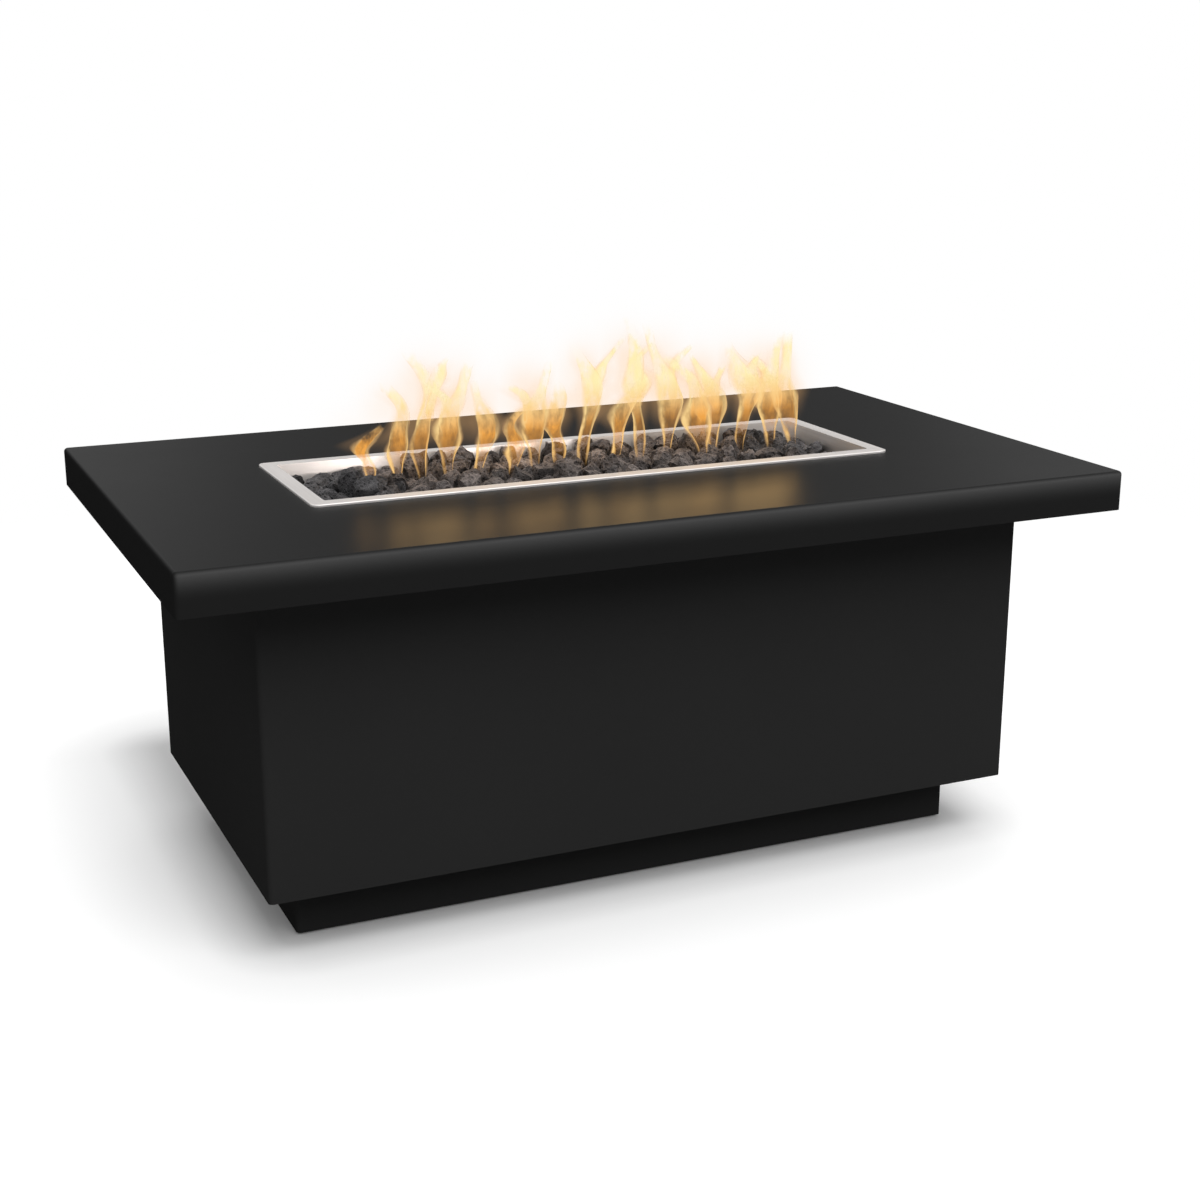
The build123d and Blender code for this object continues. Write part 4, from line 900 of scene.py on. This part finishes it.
def dome_light(sky, rise):
    """Soft light that grows with the rise above the floor."""
    dome = add(sky, "ValToRGB")
    steps = dome.color_ramp.elements
    for step, (place, tone) in zip(steps, dome_ends):
        step.position = place
        step.color = (*grey(tone), 1.0)
    steps.new(dome_middle[0]).color = (*grey(dome_middle[1]), 1.0)
    sky.links.new(rise, dome.inputs[0])
    return dome.outputs[0]


def studio_light(sky, direction, rise):
    """What shiny pieces see: white above and in front, softer low down behind the table."""
    level = add(sky, "VectorMath", operation="MULTIPLY")
    level.inputs[1].default_value = (1.0, 1.0, 0.0)
    sky.links.new(direction, level.inputs[0])
    level_way = add(sky, "VectorMath", operation="NORMALIZE")
    sky.links.new(level.outputs[0], level_way.inputs[0])
    toward = add(sky, "VectorMath", operation="DOT_PRODUCT")
    toward.inputs[1].default_value = (math.sin(panel_turn), math.cos(panel_turn), 0.0)
    sky.links.new(level_way.outputs[0], toward.inputs[0])
    behind = spread(sky, toward.outputs["Value"], 0.0, 1.0, *panel_span)
    back_half = spread(sky, toward.outputs["Value"], studio_white, studio_back, *studio_back_span)
    low_light = minus(sky, back_half, times(sky, behind, panel_dimming))
    return mixed(sky, spread(sky, rise, 0.0, 1.0, *studio_high_span), low_light, studio_white, "FLOAT")


def studio_world():
    """A soft dome for light, a pale studio for shiny pieces, and plain white for the camera."""
    world = bpy.data.worlds.new("studio")
    world.use_nodes = True
    sky = world.node_tree
    sky.nodes.clear()
    direction = add(sky, "TexCoord").outputs["Generated"]
    rise = parts_of(sky, direction)["Z"]
    ways = add(sky, "LightPath").outputs
    by_shine = larger(sky, ways["Is Glossy Ray"], ways["Is Transmission Ray"])
    light = mixed(sky, by_shine, dome_light(sky, rise), studio_light(sky, direction, rise))
    backdrop = add(sky, "Background")
    sky.links.new(mixed(sky, ways["Is Camera Ray"], light, white), backdrop.inputs["Color"])
    sky.links.new(backdrop.outputs[0], add(sky, "OutputWorld").inputs["Surface"])
    return world


scene.world = studio_world()


# Lamps
def new_lamp(name, kind, energy, shiny):
    """A lamp in the scene, which shiny pieces show or don't."""
    data = bpy.data.lights.new(name, kind)
    data.energy = energy
    lamp = bpy.data.objects.new(name, data)
    lamp.visible_glossy = shiny
    scene.collection.objects.link(lamp)
    return lamp


def soft_lamp(name, energy, width, toward_lamp, shiny):
    """A large soft lamp far away. Width is in degrees."""
    lamp = new_lamp(name, "SUN", energy, shiny)
    lamp.data.angle = math.radians(width)
    lamp.rotation_euler = Vector(toward_lamp).to_track_quat("Z", "Y").to_euler()


def flame_lamp(name, energy, length, depth, color, place, tilt, shiny):
    """A narrow lamp along the burner, for the light that the flames throw. Tilt is in degrees."""
    lamp = new_lamp(name, "AREA", energy, shiny)
    lamp.data.shape = "RECTANGLE"
    lamp.data.size = length
    lamp.data.size_y = depth
    lamp.data.color = color
    lamp.location = place
    lamp.rotation_euler = (math.radians(tilt), 0.0, 0.0)
    lamp.visible_camera = False
    return lamp


# One soft lamp in front of the table and a weak one behind it
soft_lamp("front_lamp", energy=1.5, width=46, toward_lamp=(0.15, -0.70, 0.84), shiny=True)
soft_lamp("rear_lamp", energy=0.7, width=45, toward_lamp=(0.35, 0.85, 0.45), shiny=False)

# Warm light of the flames: down on the stones, and back on the pan's wall alone
flame_lamp("stone_glow", energy=0.10, length=0.62, depth=0.02, color=(1.0, 0.62, 0.28),
           place=(0.02, 0.0, 0.560), tilt=0, shiny=False)
wall_glow = flame_lamp("wall_glow", energy=0.55, length=0.42, depth=0.02, color=(1.0, 0.92, 0.88),
                       place=(-0.11, -0.02, 0.521), tilt=90, shiny=True)
lit_by_wall_glow = bpy.data.collections.new("lit_by_wall_glow")
lit_by_wall_glow.objects.link(frame["nodes"]["burner_pan"])
wall_glow.light_linking.receiver_collection = lit_by_wall_glow

# Camera at the photograph's place
camera_down = math.radians(16.12)
camera_turn = math.radians(-24.05)
camera_data = bpy.data.cameras.new("camera")
camera_data.sensor_width = 36.0
camera_data.lens = 56.87
camera = bpy.data.objects.new("camera", camera_data)
camera.location = (-0.9764, -2.2593, 1.0249)
camera.rotation_euler = (math.radians(90) - camera_down, 0.0, camera_turn)
scene.collection.objects.link(camera)
scene.camera = camera
